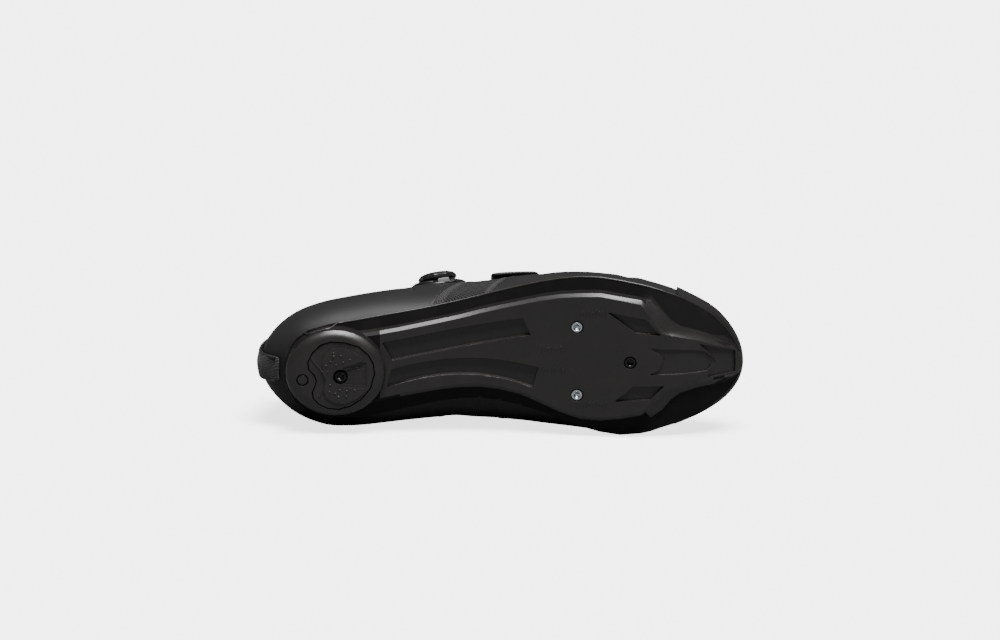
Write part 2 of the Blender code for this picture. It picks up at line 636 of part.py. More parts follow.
def foot_outline(inset=RIM_LIP):
    """A line inside the sole's rim, such as the one the upper stands on, with its lengths."""
    stations = sole_stations()
    outer = [Vector((along, rim_out(along))) for along in stations]
    inner = [Vector((along, rim_in(along))) for along in reversed(stations)]
    places = outer + inner
    count = len(places)
    moved = []
    for index, place in enumerate(places):
        ahead = (places[(index + 1) % count] - place).normalized()
        behind = (place - places[index - 1]).normalized()
        way = (ahead + behind).normalized()
        inwards = Vector((way.y, -way.x))
        moved.append(place + inset * inwards / max(inwards.dot(Vector((ahead.y, -ahead.x))), 0.5))
    moved.append(moved[0])
    lengths = [0.0]
    for first, second in zip(moved, moved[1:]):
        lengths.append(lengths[-1] + (second - first).length)
    return moved, lengths


def on_outline(outline, lengths, length):
    """A place on the closed outline and its outward direction."""
    length = length % lengths[-1]
    index = int(np.clip(np.searchsorted(lengths, length) - 1, 0, len(lengths) - 2))
    share = (length - lengths[index]) / (lengths[index + 1] - lengths[index])
    return outline[index].lerp(outline[index + 1], share)


def row_length(outline, lengths, row):
    """How far along the outline a fold of the upper starts."""
    if row.side == 0:
        heel = row.along < 0.5
        return -0.5 * (outline[0] - outline[-2]).length if heel else 0.5 * (
            lengths[len(outline) // 2 - 1] + lengths[len(outline) // 2])
    half = len(outline) // 2
    places = range(0, half) if row.side > 0 else range(half, len(outline) - 1)
    along = row.along * LENGTH
    ordered = sorted(places, key=lambda index: outline[index].x)
    xs = [outline[index].x for index in ordered]
    return float(np.interp(along, xs, [lengths[index] for index in ordered]))


def blend_rows(starts, values, total, steps):
    """Values between the rows of a closed table, each stretch cut into equal steps."""
    count = len(starts)
    spots = []
    made = []
    for index in range(count):
        before = starts[index - 1] - (total if index == 0 else 0.0)
        here = starts[index]
        after = starts[(index + 1) % count] + (total if index == count - 1 else 0.0)
        later = starts[(index + 2) % count] + (total if index >= count - 2 else 0.0)
        rate_here = (values[(index + 1) % count] - values[index - 1]) / (after - before)
        rate_after = (values[(index + 2) % count] - values[index]) / (later - here)
        gap = after - here
        for step in range(steps):
            share = step / steps
            first = (1 + 2 * share) * (1 - share) ** 2 * values[index]
            second = share * (1 - share) ** 2 * gap * rate_here
            third = share ** 2 * (3 - 2 * share) * values[(index + 1) % count]
            fourth = share ** 2 * (share - 1) * gap * rate_after
            spots.append(here + share * gap)
            made.append(first + second + third + fourth)
    return spots, made


def bezier(points, share):
    """A cubic curve through four control points."""
    rest = 1.0 - share
    return (rest ** 3 * points[0] + 3 * rest ** 2 * share * points[1]
            + 3 * rest * share ** 2 * points[2] + share ** 3 * points[3])


def fold(foot, outward, row):
    """One profile of the upper from its foot over the widest place to its edge."""
    swell, belly, edge_along, edge_out, edge_up, dip, full = row
    base = rim_up(min(max(foot.x, HEEL_END), TOE_END)) + CLEARANCE
    start = Vector((foot.x, foot.y, base))
    side = Vector((outward.x, outward.y, 0.0))
    wide = start + swell * side
    wide.z = belly
    edge = Vector((edge_along, edge_out, edge_up))
    lift = belly - base
    lower = (start, start + 0.55 * swell * side + Vector((0, 0, 0.15 * lift)),
             wide - Vector((0, 0, 0.5 * lift)), wide)
    across = wide - edge
    reach = 0.42 * across.length
    across.z = 0.0
    flat = across.normalized()
    leave = edge + reach * (math.cos(dip) * flat - math.sin(dip) * Vector((0, 0, 1)))
    climb = full * (edge_up - belly)
    higher = (wide, wide + Vector((0, 0, climb)), leave, edge)
    places = [bezier(lower, share) for share in spread(0.0, 1.0, LOWER_LEVELS + 1)]
    places += [bezier(higher, share) for share in spread(0.0, 1.0, UPPER_LEVELS + 1)[1:]]
    return places


def edge_height(row):
    """Height of the collar's edge, which follows the heel at the back and the instep in front."""
    front = float(np.clip(row.edge_along / COLLAR_LEVEL_FROM, 0.0, 1.0))
    return row.edge_up * (front * INSTEP_HEIGHT + (1.0 - front) * HEEL_HEIGHT / HEEL_EDGE_SHARE)


def upper_grid():
    """The upper's outer face: a list of folds, each a list of places on the upright shoe."""
    outline, lengths = foot_outline()
    total = lengths[-1]
    starts = [row_length(outline, lengths, row) for row in UPPER_ROWS]
    values = [np.array((
        row.swell * BALL_WIDTH, row.belly * INSTEP_HEIGHT, row.edge_along * LENGTH,
        row.edge_out * BALL_WIDTH, edge_height(row), math.radians(row.dip), row.full))
        for row in UPPER_ROWS]
    spots, rows = blend_rows(starts, values, total, STEPS_PER_FOLD)
    reach = 0.012
    folds = []
    for spot, row in zip(spots, rows):
        foot = on_outline(outline, lengths, spot)
        way = (on_outline(outline, lengths, spot + reach)
               - on_outline(outline, lengths, spot - reach)).normalized()
        folds.append(fold(foot, Vector((-way.y, way.x)), [float(value) for value in row]))
    return folds


def grid_normals(folds):
    """Outward directions of the grid's places."""
    count = len(folds)
    levels = len(folds[0])
    normals = []
    for index in range(count):
        line = []
        for level in range(levels):
            around = folds[(index + 1) % count][level] - folds[index - 1][level]
            upward = folds[index][min(level + 1, levels - 1)] - folds[index][max(level - 1, 0)]
            normal = upward.cross(around).normalized()
            if level == 0:
                normal.z = 0.0
                normal.normalize()
            line.append(normal)
        normals.append(line)
    return normals


def offset_grid(folds, normals, distance):
    return [[place + distance * normal for place, normal in zip(line, slopes)]
            for line, slopes in zip(folds, normals)]


def lay(place):
    return at(place.x, place.y, place.z)


def shell(name, inside, outside, look, roll=0.0):
    """A closed band around the foot between two grids, with a rounded upper edge."""
    sections = []
    for inner, outer in zip(inside, outside):
        top = 0.5 * (inner[-1] + outer[-1])
        top += roll * (outer[-1] - outer[-2]).normalized()
        sections.append([lay(place) for place in outer + [top] + list(reversed(inner))])
    return loft(name, sections, look, closed=True)


def build_upper(folds, normals, look):
    inside = offset_grid(folds, normals, -UPPER_WALL)
    return shell("upper", inside, folds, look, EDGE_ROLL)


def build_toe_cap(folds, normals, look, hidden):
    """The cap is a band just outside the upper, cut off across the toes."""
    inside = offset_grid(folds, normals, CLEARANCE)
    outside = offset_grid(folds, normals, CLEARANCE + TOE_CAP_THICKNESS)
    for line in inside + outside:
        step = line[1] - line[0]
        line[0] += min(3.0 * CLEARANCE / step.length, 0.8) * step
    cap = shell("toe_cap", inside, outside, look)
    back = LENGTH - TOE_CAP_LENGTH
    skew = 0.0035
    low = -0.1
    high = 0.2
    outer_line = [at(back + skew, 0.2, low), at(back + skew, 0.2, high), at(0.5, 0.2, high),
                  at(0.5, 0.2, low)]
    inner_line = [at(back - skew, -0.2, low), at(back - skew, -0.2, high), at(0.5, -0.2, high),
                  at(0.5, -0.2, low)]
    region = loft("toe_cap_region", [outer_line, inner_line], hidden)
    boolean(cap, region, "INTERSECT")
    return cap


def skin_tree(folds):
    """A search tree of the upper's outer face on the upright shoe."""
    places = [place for line in folds for place in line]
    count = len(folds)
    levels = len(folds[0])
    faces = []
    for index in range(count):
        after = (index + 1) % count
        for level in range(levels - 1):
            faces.append((index * levels + level, after * levels + level,
                          after * levels + level + 1, index * levels + level + 1))
    return BVHTree.FromPolygons(places, faces)


def skin_radius(tree, along, angle, height=AXIS_UP, out=AXIS_OUT):
    """Distance from the foot's axis to the upper at an angle above the outer side."""
    start = Vector((along, out, height))
    way = Vector((0.0, math.cos(math.radians(angle)), math.sin(math.radians(angle))))
    hit = tree.ray_cast(start, way)
    return None if hit[0] is None else hit[3]


def taut_radii(tree, along, angles):
    """Radii at each angle of a band drawn tight over the upper and across the throat."""
    hull = []
    for angle in spread(BAND_ANGLES[0], BAND_ANGLES[1], SKIN_SAMPLES):
        radius = skin_radius(tree, along, angle)
        if radius is None:
            continue
        turn = math.radians(angle)
        spot = Vector((radius * math.cos(turn), radius * math.sin(turn)))
        while len(hull) > 1:
            last = hull[-1] - hull[-2]
            step = spot - hull[-1]
            if last.x * step.y - last.y * step.x > 0.0:
                break
            hull.pop()
        hull.append(spot)
    turns = [math.atan2(spot.y, spot.x) for spot in hull]
    radii = []
    for angle in angles:
        turn = math.radians(angle)
        index = int(np.clip(np.searchsorted(turns, turn), 1, len(hull) - 1))
        first = hull[index - 1]
        edge = hull[index] - first
        across = math.cos(turn) * edge.y - math.sin(turn) * edge.x
        radii.append((first.x * edge.y - first.y * edge.x) / across)
    return radii


def build_strap(tree, look):
    """A band over the instep, from low on the inner side to its cut end on the outer one."""
    angles = spread(15.0, 166.0, 27)
    sections = []
    alongs = spread(STRAP_AT - 0.5 * STRAP_WIDTH, STRAP_AT + 0.5 * STRAP_WIDTH, 5)
    radii = [taut_radii(tree, along, angles) for along in alongs]
    gap = 2.0 * CLEARANCE
    sag = 0.0016
    for index, angle in enumerate(angles):
        way = Vector((0.0, math.cos(math.radians(angle)), math.sin(math.radians(angle))))
        bridge = sag * math.exp(-((angle - 90.0) / 30.0) ** 2)
        under_line = []
        over_line = []
        for along, line in zip(alongs, radii):
            base = Vector((along, AXIS_OUT, AXIS_UP)) + (line[index] + gap + bridge) * way
            under_line.append(lay(base))
            over_line.append(lay(base + STRAP_THICKNESS * way))
        sections.append(under_line + list(reversed(over_line)))
    return loft("forefoot_strap", sections, look)


def build_tape(tree, look):
    """Webbing down the back of the heel, from the collar to the sole."""
    middle = 0.5 * (rim_out(HEEL_END) + rim_in(HEEL_END))
    low = rim_up(HEEL_END) + TAPE_THICKNESS + 3.0 * CLEARANCE
    high = 0.955 * HEEL_HEIGHT
    sections = []
    gap = 2.6 * CLEARANCE
    for up in spread(low, high, 22):
        inner_line = []
        outer_line = []
        for share in (-0.5, -0.25, 0.0, 0.25, 0.5):
            out = middle + share * TAPE_WIDTH
            hit = tree.ray_cast(Vector((0.05, out, up)), Vector((-1.0, 0.0, 0.0)))
            way = hit[1] if hit[1].x < 0.0 else -hit[1]
            base = hit[0] + gap * way
            inner_line.append(lay(base))
            outer_line.append(lay(base + TAPE_THICKNESS * way))
        sections.append(inner_line + list(reversed(outer_line)))
    return loft("heel_tape", sections, look)


def build_insole(look):
    """A thin bed on the sole's dished face, inside the upper."""
    lower = []
    upper = []
    outline, lengths = foot_outline(RIM_LIP + UPPER_WALL + INSOLE_MARGIN)
    half = len(outline) // 2
    outer = sorted((place.x, place.y) for place in outline[:half])
    inner = sorted((place.x, place.y) for place in outline[half:-1])
    first = max(outer[0][0], inner[0][0])
    last = min(outer[-1][0], inner[-1][0])
    between = [along for along in sole_stations() if first + 0.001 < along < last - 0.001]
    for along in [first] + between + [last]:
        out_edge = float(np.interp(along, *zip(*outer)))
        in_edge = float(np.interp(along, *zip(*inner)))
        outs, ups = top_profile(along)
        low_line = []
        high_line = []
        for place in [in_edge] + outs[1:-1] + [out_edge]:
            out = min(max(place, in_edge), out_edge)
            base = float(np.interp(out, outs, ups)) + 2.0 * CLEARANCE
            low_line.append(at(along, out, base))
            high_line.append(at(along, out, base + INSOLE_THICKNESS))
        lower.append(low_line)
        upper.append(high_line)
    return slab("insole", lower, upper, look)


def build_tongue(tree, look):
    """A pad under the throat, against the upper's lining, with a free end above it."""
    lower = []
    upper = []
    for row in TONGUE_ROWS:
        low_line = []
        high_line = []
        for share in spread(-1.0, 1.0, 9):
            out = share * row.half * BALL_WIDTH + AXIS_OUT
            top = row.up * INSTEP_HEIGHT - row.sag * BALL_WIDTH * share * share
            thick = TONGUE_THICKNESS * (1.0 - 0.45 * share * share)
            low_line.append(at(row.along * LENGTH, out, top - thick))
            high_line.append(at(row.along * LENGTH, out, top))
        lower.append(low_line)
        upper.append(high_line)
    for along in spread(TONGUE_SPAN[0], TONGUE_SPAN[1], 9):
        middle = taut_radii(tree, along, [90.0])[0]
        spread_angle = math.degrees(TONGUE_HALF_WIDTH / middle) * 0.92
        angles = [90.0 - share * spread_angle for share in spread(-1.0, 1.0, 9)]
        radii = taut_radii(tree, along, list(reversed(angles)))[::-1]
        low_line = []
        high_line = []
        for share, angle in zip(spread(-1.0, 1.0, 9), angles):
            radius = radii[len(high_line)] - UPPER_WALL - 3.0 * CLEARANCE
            thick = TONGUE_THICKNESS * (1.0 - 0.45 * share * share)
            way = Vector((0.0, math.cos(math.radians(angle)), math.sin(math.radians(angle))))
            low_line.append(lay(Vector((along, AXIS_OUT, AXIS_UP)) + (radius - thick) * way))
            high_line.append(lay(Vector((along, AXIS_OUT, AXIS_UP)) + radius * way))
        lower.append(low_line)
        upper.append(high_line)
    return slab("tongue", lower, upper, look)


def dial_frame(tree):
    """Place and turn of the dial: its own Z points away from the upper's skin."""
    start = Vector((DIAL_AT, AXIS_OUT, AXIS_UP))
    angle = math.radians(DIAL_ANGLE)
    hit = tree.ray_cast(start, Vector((0.0, math.cos(angle), math.sin(angle))))
    up = math.radians(DIAL_FACE_UP)
    back = math.radians(DIAL_FACE_BACK)
    face = Vector((-math.sin(back), math.cos(back) * math.cos(up), math.cos(back) * math.sin(up)))
    along = (Vector((1.0, 0.0, 0.0)) - face * face.x).normalized()
    side = face.cross(along)
    turn = Matrix((
        (along.x, side.x, face.x), (along.y, side.y, face.y), (along.z, side.z, face.z)))
    return hit[0], turn


def turned_disc(name, origin, turn, profile, look, sides, wave=0.0, grips=0):
    """A turned piece on the dial's axis, with an optional wavy rim."""
    sections = []
    for radius, height in profile:
        ring = []
        for index in range(sides):
            angle = 2.0 * math.pi * index / sides
            grown = radius + wave * math.cos(grips * angle)
            ring.append(lay(origin + turn @ Vector((
                grown * math.cos(angle), grown * math.sin(angle), height))))
        sections.append(ring)
    return loft(name, sections, look)


def on_skin(tree, origin, turn, along, side):
    """The skin's place under a spot of a turned frame, as a height along the frame's axis."""
    start = origin + turn @ Vector((along, side, 0.03))
    hit = tree.ray_cast(start, turn @ Vector((0.0, 0.0, -1.0)))
    return 0.03 - hit[3]


def seated_block(name, tree, origin, turn, outline, top, look, rings=(0.30, 0.65, 1.0)):
    """A block whose underside follows the skin; outline gives its rim at the share 1."""
    gap = 2.0 * CLEARANCE
    sections = []
    for share in rings:
        ring = []
        for along, side in outline(share):
            low = on_skin(tree, origin, turn, along, side) + gap
            ring.append(lay(origin + turn @ Vector((along, side, low))))
        sections.append(ring)
    for share, height in ((1.0, 0.65 * top), (0.88, top)):
        ring = [lay(origin + turn @ Vector((along, side, height)))
                for along, side in outline(share)]
        sections.append(ring)
    return loft(name, sections, look)


def oval(centre, radii, sides):
    """An outline function for an oval, by share of its size."""
    def outline(share):
        return [(centre[0] + share * radii[0] * math.cos(2.0 * math.pi * index / sides),
                 centre[1] + share * radii[1] * math.sin(2.0 * math.pi * index / sides))
                for index in range(sides)]
    return outline


def box_outline(centre, size):
    """An outline function for a rectangle with a place along each side."""
    corners = ((-1, -1), (0, -1), (1, -1), (1, 0), (1, 1), (0, 1), (-1, 1), (-1, 0))
    def outline(share):
        return [(centre[0] + 0.5 * share * size[0] * along, centre[1] + 0.5 * share * size[1] * side)
                for along, side in corners]
    return outline


def build_dial(tree, look, light_look):
    """The dial stands on its base, which follows the skin of the outer quarter."""
    origin, turn = dial_frame(tree)
    top = DIAL_BASE_HEIGHT
    back = (-DIAL_BASE_BACK, 0.0)
    seated_block("dial_base", tree, origin, turn, oval(back, DIAL_BASE_RADII, 28), top, look)
    low = top + CLEARANCE
    turned_disc("dial_knob", origin, turn, [
        (DIAL_RADIUS * 0.93, low), (DIAL_RADIUS, low + 0.14 * DIAL_HEIGHT),
        (DIAL_RADIUS, low + 0.50 * DIAL_HEIGHT), (DIAL_RADIUS * 0.90, low + 0.80 * DIAL_HEIGHT),
        (DIAL_RADIUS * 0.66, low + DIAL_HEIGHT), (DIAL_RADIUS * 0.58, low + 0.94 * DIAL_HEIGHT)],
        look, 2 * DIAL_GRIPS, 0.00025, DIAL_GRIPS)
    side = DIAL_BASE_RADII[1] + CLEARANCE + 0.5 * HOUSING_SIZE[1]
    seated_block("dial_housing", tree, origin, turn,
                 box_outline((HOUSING_AHEAD, side), HOUSING_SIZE), HOUSING_SIZE[2] - 0.0010,
                 light_look)
    return origin, turn


def skin_frame(tree, along, angle):
    """A place on the upper and a turn whose Z is the skin's normal."""
    way = Vector((0.0, math.cos(math.radians(angle)), math.sin(math.radians(angle))))
    hit = tree.ray_cast(Vector((along, AXIS_OUT, AXIS_UP)), way)
    face = hit[1] if hit[1].dot(way) > 0.0 else -hit[1]
    ahead = (Vector((1.0, 0.0, 0.0)) - face * face.x).normalized()
    side = face.cross(ahead)
    turn = Matrix((
        (ahead.x, side.x, face.x), (ahead.y, side.y, face.y), (ahead.z, side.z, face.z)))
    return hit[0], turn


def build_guides(tree, look):
    """Low tabs beside the throat that the dial's lace turns in, with where it enters them."""
    ports = []
    for name, along, angle in GUIDE_SPOTS:
        origin, turn = skin_frame(tree, along, angle)
        seated_block(name, tree, origin, turn, box_outline((0.0, 0.0), GUIDE_SIZE),
                     GUIDE_SIZE[2], look)
        ports.append((origin, turn))
    return ports


def tube(name, places, radius, look, sides=8):
    """A round bar through places, its rings square to its run."""
    sections = []
    for index, place in enumerate(places):
        run = (places[min(index + 1, len(places) - 1)] - places[max(index - 1, 0)]).normalized()
        across = run.cross(Vector((0.0, 0.0, 1.0))).normalized()
        lift = across.cross(run)
        sections.append([lay(place + radius * (math.cos(turn) * across + math.sin(turn) * lift))
                         for turn in spread(0.0, 2.0 * math.pi * (sides - 1) / sides, sides)])
    return loft(name, sections, look)


def lift_over(tree, place):
    """The place moved away from the foot's axis until the lace clears the upper."""
    across = Vector((0.0, place.y - AXIS_OUT, place.z - AXIS_UP))
    angle = math.degrees(math.atan2(across.z, across.y))
    needed = taut_radii(tree, place.x, [angle])[0] + LACE_RADIUS + 7.0 * CLEARANCE
    grown = max(needed / across.length, 1.0)
    return Vector((place.x, AXIS_OUT + grown * across.y, AXIS_UP + grown * across.z))


def build_lace(tree, dial, ports, look):
    """Three bars of lace over the throat, each a little clear of what it runs between."""
    clear = GUIDE_SIZE[1] * 0.5 + 2.0 * CLEARANCE
    height = 0.55 * GUIDE_SIZE[2]
    def port(index, ahead, side):
        origin, turn = ports[index]
        return origin + turn @ Vector((ahead, side * clear, height))
    dial_origin, dial_turn = dial
    start = dial_origin + dial_turn @ Vector((0.0, -DIAL_BASE_RADII[1] - 0.0020, 0.0018))
    ahead = 0.3 * GUIDE_SIZE[0]
    runs = (
        ("lace_bar_rear", start, port(0, -ahead, 1.0)),
        ("lace_bar_middle", port(0, ahead, 1.0), port(1, -ahead, -1.0)),
        ("lace_bar_front", port(1, ahead, -1.0), port(2, 0.0, 1.0)),
    )
    for name, first, last in runs:
        places = []
        for share in spread(0.0, 1.0, 9):
            places.append(lift_over(tree, first.lerp(last, share)))
        tube(name, places, LACE_RADIUS, look)


def resting_turn(items):
    """The turn and drop that lay the flattest facet under the weight, on the inner side, down."""
    graph = bpy.context.evaluated_depsgraph_get()
    cloud = bmesh.new()
    weight = Vector()
    volume = 0.0
    for item in items:
        solid = bmesh.new()
        solid.from_mesh(item.evaluated_get(graph).to_mesh())
        bmesh.ops.triangulate(solid, faces=solid.faces[:])
        for face in solid.faces:
            first, second, third = [corner.co for corner in face.verts]
            part = first.dot(second.cross(third)) / 6.0
            weight += part * 0.25 * (first + second + third)
            volume += part
        for corner in solid.verts:
            cloud.verts.new(corner.co)
        solid.free()
    middle = weight / volume
    hull = bmesh.ops.convex_hull(cloud, input=cloud.verts[:])
    best = None
    for face in [part for part in hull["geom"] if isinstance(part, bmesh.types.BMFace)]:
        corners = [corner.co.copy() for corner in face.verts]
        normal = (corners[1] - corners[0]).cross(corners[2] - corners[0])
        if normal.length < 1e-12:
            continue
        normal.normalize()
        if normal.dot(corners[0] - middle) < 0.0:
            normal = -normal
        height = normal.dot(corners[0] - middle)
        foot = middle + height * normal
        lean = normal.angle(Vector((0.0, 0.0, -1.0)))
        inside = all((corners[index] - foot).cross(corners[(index + 1) % 3] - foot).dot(
            (corners[0] - foot).cross(corners[1] - foot)) > 0.0 for index in range(3))
        if inside and (best is None or lean < best[0]):
            best = (lean, normal)
    points = [corner.co.copy() for corner in cloud.verts]
    cloud.free()
    turn = best[1].rotation_difference(Vector((0.0, 0.0, -1.0))).to_matrix()
    toe = turn @ Vector((1.0, 0.0, 0.0))
    turn = Matrix.Rotation(-math.atan2(toe.y, toe.x), 3, "Z") @ turn
    turned = [turn @ point for point in points]
    lows = [min(point[axis] for point in turned) for axis in range(3)]
    highs = [max(point[axis] for point in turned) for axis in range(3)]
    drop = Vector((-0.5 * (lows[0] + highs[0]), -0.5 * (lows[1] + highs[1]), -lows[2]))
    return Matrix.Translation(drop) @ turn.to_4x4()


def main():
    clear_scene()
    black = material("sole_black", (0.030, 0.030, 0.032), 0.42)
    upper_look = material("upper_black", (0.028, 0.028, 0.030), 0.55)
    cap_look = material("cap_black", (0.030, 0.030, 0.032), 0.50)
    cloth = material("cloth_black", (0.022, 0.022, 0.024), 0.90)
    lining = material("lining_black", (0.030, 0.030, 0.033), 0.95)
    webbing = material("webbing_black", (0.035, 0.035, 0.037), 0.85)
    pad = material("insert_black", (0.030, 0.030, 0.030), 0.60)
    plastic = material("dial_black", (0.020, 0.020, 0.021), 0.35)
    grey_plastic = material("housing_grey", (0.35, 0.35, 0.36), 0.45)
    lace_look = material("lace_black", (0.015, 0.015, 0.016), 0.50)
    steel = material("nut_steel", (0.62, 0.64, 0.66), 0.30, 1.0)
    dark_steel = material("dark_steel", (0.05, 0.05, 0.05), 0.40, 1.0)
    hidden = material("cutter_grey", (0.5, 0.5, 0.5), 0.5)
    build_outsole(black, hidden)
    build_heel_insert(pad, hidden)
    build_button(black)
    build_screw(dark_steel)
    build_nuts(steel, dark_steel)
    folds = upper_grid()
    normals = grid_normals(folds)
    build_upper(folds, normals, upper_look)
    build_toe_cap(folds, normals, cap_look, hidden)
    tree = skin_tree(folds)
    build_tongue(tree, cloth)
    build_insole(lining)
    build_strap(tree, cloth)
    build_tape(tree, webbing)
    dial = build_dial(tree, plastic, grey_plastic)
    ports = build_guides(tree, plastic)
    build_lace(tree, dial, ports, lace_look)
    solids = [item for item in bpy.data.objects if not item.hide_render]
    rest = bpy.data.objects.new("rest_pose", None)
    bpy.context.collection.objects.link(rest)
    for item in list(bpy.data.objects):
        if item is not rest:
            item.parent = rest
    rest.matrix_world = resting_turn(solids)


main()
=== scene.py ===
# %% [markdown]
# A road cycling shoe lies on its inner side and shows its moulded sole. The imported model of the
# shoe is loaded first and stays fixed: every new piece is shaped on it, in metres.

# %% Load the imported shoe
import math
import json
import bpy
import numpy as np
from mathutils import Matrix, Vector, Euler
from mathutils.bvhtree import BVHTree

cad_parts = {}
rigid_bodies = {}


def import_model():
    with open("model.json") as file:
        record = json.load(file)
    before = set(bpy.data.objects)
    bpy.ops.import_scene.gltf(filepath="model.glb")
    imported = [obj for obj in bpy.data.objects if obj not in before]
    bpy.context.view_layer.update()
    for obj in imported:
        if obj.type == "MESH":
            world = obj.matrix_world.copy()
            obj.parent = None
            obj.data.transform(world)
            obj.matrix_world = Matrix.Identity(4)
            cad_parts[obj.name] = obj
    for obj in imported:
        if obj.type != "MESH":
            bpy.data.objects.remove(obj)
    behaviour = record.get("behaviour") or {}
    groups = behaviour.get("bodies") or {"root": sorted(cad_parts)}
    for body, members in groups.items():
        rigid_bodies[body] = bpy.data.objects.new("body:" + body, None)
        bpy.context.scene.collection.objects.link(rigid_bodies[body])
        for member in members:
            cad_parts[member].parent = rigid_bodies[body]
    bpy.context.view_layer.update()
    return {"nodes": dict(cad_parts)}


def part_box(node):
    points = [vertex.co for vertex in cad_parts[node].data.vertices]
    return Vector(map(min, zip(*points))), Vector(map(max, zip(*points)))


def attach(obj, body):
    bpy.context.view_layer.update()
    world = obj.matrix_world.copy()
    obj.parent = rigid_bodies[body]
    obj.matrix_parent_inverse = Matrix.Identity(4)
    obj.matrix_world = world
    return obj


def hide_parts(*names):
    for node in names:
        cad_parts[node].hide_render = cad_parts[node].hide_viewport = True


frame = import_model()
nodes = frame["nodes"]

# %% [markdown]
# A shoemaker measures along the shoe, up from the tread and out towards the outer side. The
# shoe lies a little turned, so one matrix leads from those three measures to the room.

# %% The shoe's own measures
LIE_TURN = Euler((math.radians(2.624589), math.radians(-0.69348), 0.0))
LIE_PLACE = Vector((-0.132965, -0.055510, 0.038435))
lie = Matrix.Translation(LIE_PLACE) @ LIE_TURN.to_matrix().to_4x4()
unlie = lie.inverted()


def spot(along, out, up):
    """The point of the room at these measures of the shoe."""
    return lie @ Vector((along, up, out))


print("heel at", [round(1000 * value, 1) for value in spot(0.0, 0.0, 0.0)])

# %% [markdown]
# The photograph was taken from far off, 13.5 degrees from straight on to the sole. The camera
# keeps that angle to the shoe, so it is turned with the shoe and looks a little down.

# %% Camera
VIEW_ANGLE = math.radians(13.5)
PIXEL = 0.0005456
LENS = 300.0
HALF_SENSOR = 18.0
PICTURE_MIDDLE = (500.0, 320.0)
HEEL_ACROSS = 256.5
MIDDLE_DOWN = 366.0
SOLE_UP = 0.010
camera_data = bpy.data.cameras.new("camera")
camera_data.lens = LENS
camera_data.clip_end = 20.0
camera = bpy.data.objects.new("camera", camera_data)
bpy.context.scene.collection.objects.link(camera)
bpy.context.scene.camera = camera
right = lie.to_3x3() @ Vector((1.0, 0.0, 0.0))
upright = lie.to_3x3() @ Vector((0.0, math.sin(VIEW_ANGLE), math.cos(VIEW_ANGLE)))
back = right.cross(upright)
reach = PICTURE_MIDDLE[0] * PIXEL * LENS / HALF_SENSOR
middle_out = (MIDDLE_DOWN - PICTURE_MIDDLE[1]) * PIXEL - SOLE_UP * math.sin(VIEW_ANGLE)
aim = spot((PICTURE_MIDDLE[0] - HEEL_ACROSS) * PIXEL, middle_out / math.cos(VIEW_ANGLE), SOLE_UP)
camera.matrix_world = Matrix.Translation(aim + reach * back) @ Matrix(
    (right, upright, back)).transposed().to_4x4()
print("camera", round(math.degrees(math.asin(back.z)), 2), "degrees above the floor and",
      round(reach, 2), "m away")

# %% [markdown]
# The photograph has a white ground, one broad soft lamp overhead and dark sides, which is why a
# black sole shows bright edges above and dark hollows below. White paper would throw light back
# on to black plastic, and photographers lay black card out of sight for that. Light Path does the
# same: the camera sees pale paper and a pale wall, and the shoe sees dimmer ones.

# %% Light
GROUND_SEEN = 5.5
GROUND_FELT = 0.10
LAMP_WIDTH = math.radians(34.0)
LAMP_POWER = 9.0
LAMP_WAY = Vector((-0.12, 0.30, -1.0))
world = bpy.data.worlds.new("studio")
bpy.context.scene.world = world
world.use_nodes = True
sky = world.node_tree.nodes["Background"]
sky.inputs["Color"].default_value = (1.0, 1.0, 1.0, 1.0)
sky_path = world.node_tree.nodes.new("ShaderNodeLightPath")
sky_level = world.node_tree.nodes.new("ShaderNodeMapRange")
sky_level.inputs["To Min"].default_value = GROUND_FELT
sky_level.inputs["To Max"].default_value = GROUND_SEEN
world.node_tree.links.new(sky_path.outputs["Is Camera Ray"], sky_level.inputs["Value"])
world.node_tree.links.new(sky_level.outputs["Result"], sky.inputs["Strength"])
lamp_data = bpy.data.lights.new("top_light", "SUN")
lamp_data.angle = LAMP_WIDTH
lamp_data.energy = LAMP_POWER
lamp = bpy.data.objects.new("top_light", lamp_data)
bpy.context.scene.collection.objects.link(lamp)
lamp.rotation_euler = LAMP_WAY.to_track_quat("-Z", "Y").to_euler()

bpy.ops.object.select_all(action="DESELECT")
bpy.ops.mesh.primitive_plane_add(size=30.0, location=(0.0, 0.0, 0.0))
floor = bpy.context.object
floor.name = "floor"
print("lamp from", [round(value, 2) for value in lamp.rotation_euler])

# %% [markdown]
# Every finish is made from Blender's nodes. Two small classes write them as plain sums: a Field
# is a number that changes over a surface, and a Finish is one material with its nodes.


# %% Sums that become nodes
class Field:
    """A number that changes over a surface. Arithmetic on it adds Math nodes."""

    def __init__(self, finish, socket):
        self.finish = finish
        self.socket = socket

    def maths(self, operation, *values):
        return self.finish.node("ShaderNodeMath", {"operation": operation}, dict(enumerate(values)))

    def __add__(self, other):
        return self.maths("ADD", self, other)

    __radd__ = __add__

    def __sub__(self, other):
        return self.maths("SUBTRACT", self, other)

    def __rsub__(self, other):
        return self.maths("SUBTRACT", other, self)

    def __mul__(self, other):
        return self.maths("MULTIPLY", self, other)

    __rmul__ = __mul__

    def size(self):
        return self.maths("ABSOLUTE", self)

    def higher(self, other):
        return self.maths("MAXIMUM", self, other)

    def wave(self, length):
        """Goes from 0 to 1 and back over each length."""
        return self.maths("SINE", self * (2.0 * math.pi / length)) * 0.5 + 0.5

    def zigzag(self, length):
        """Rises evenly from 0 to half the length and falls back."""
        return self.maths("PINGPONG", self, 0.5 * length)

    def ramp(self, low, high):
        """Turns softly from 0 below low to 1 above high."""
        return self.finish.node("ShaderNodeMapRange", {"interpolation_type": "SMOOTHSTEP"},
                                {"Value": self, "From Min": low, "From Max": high})


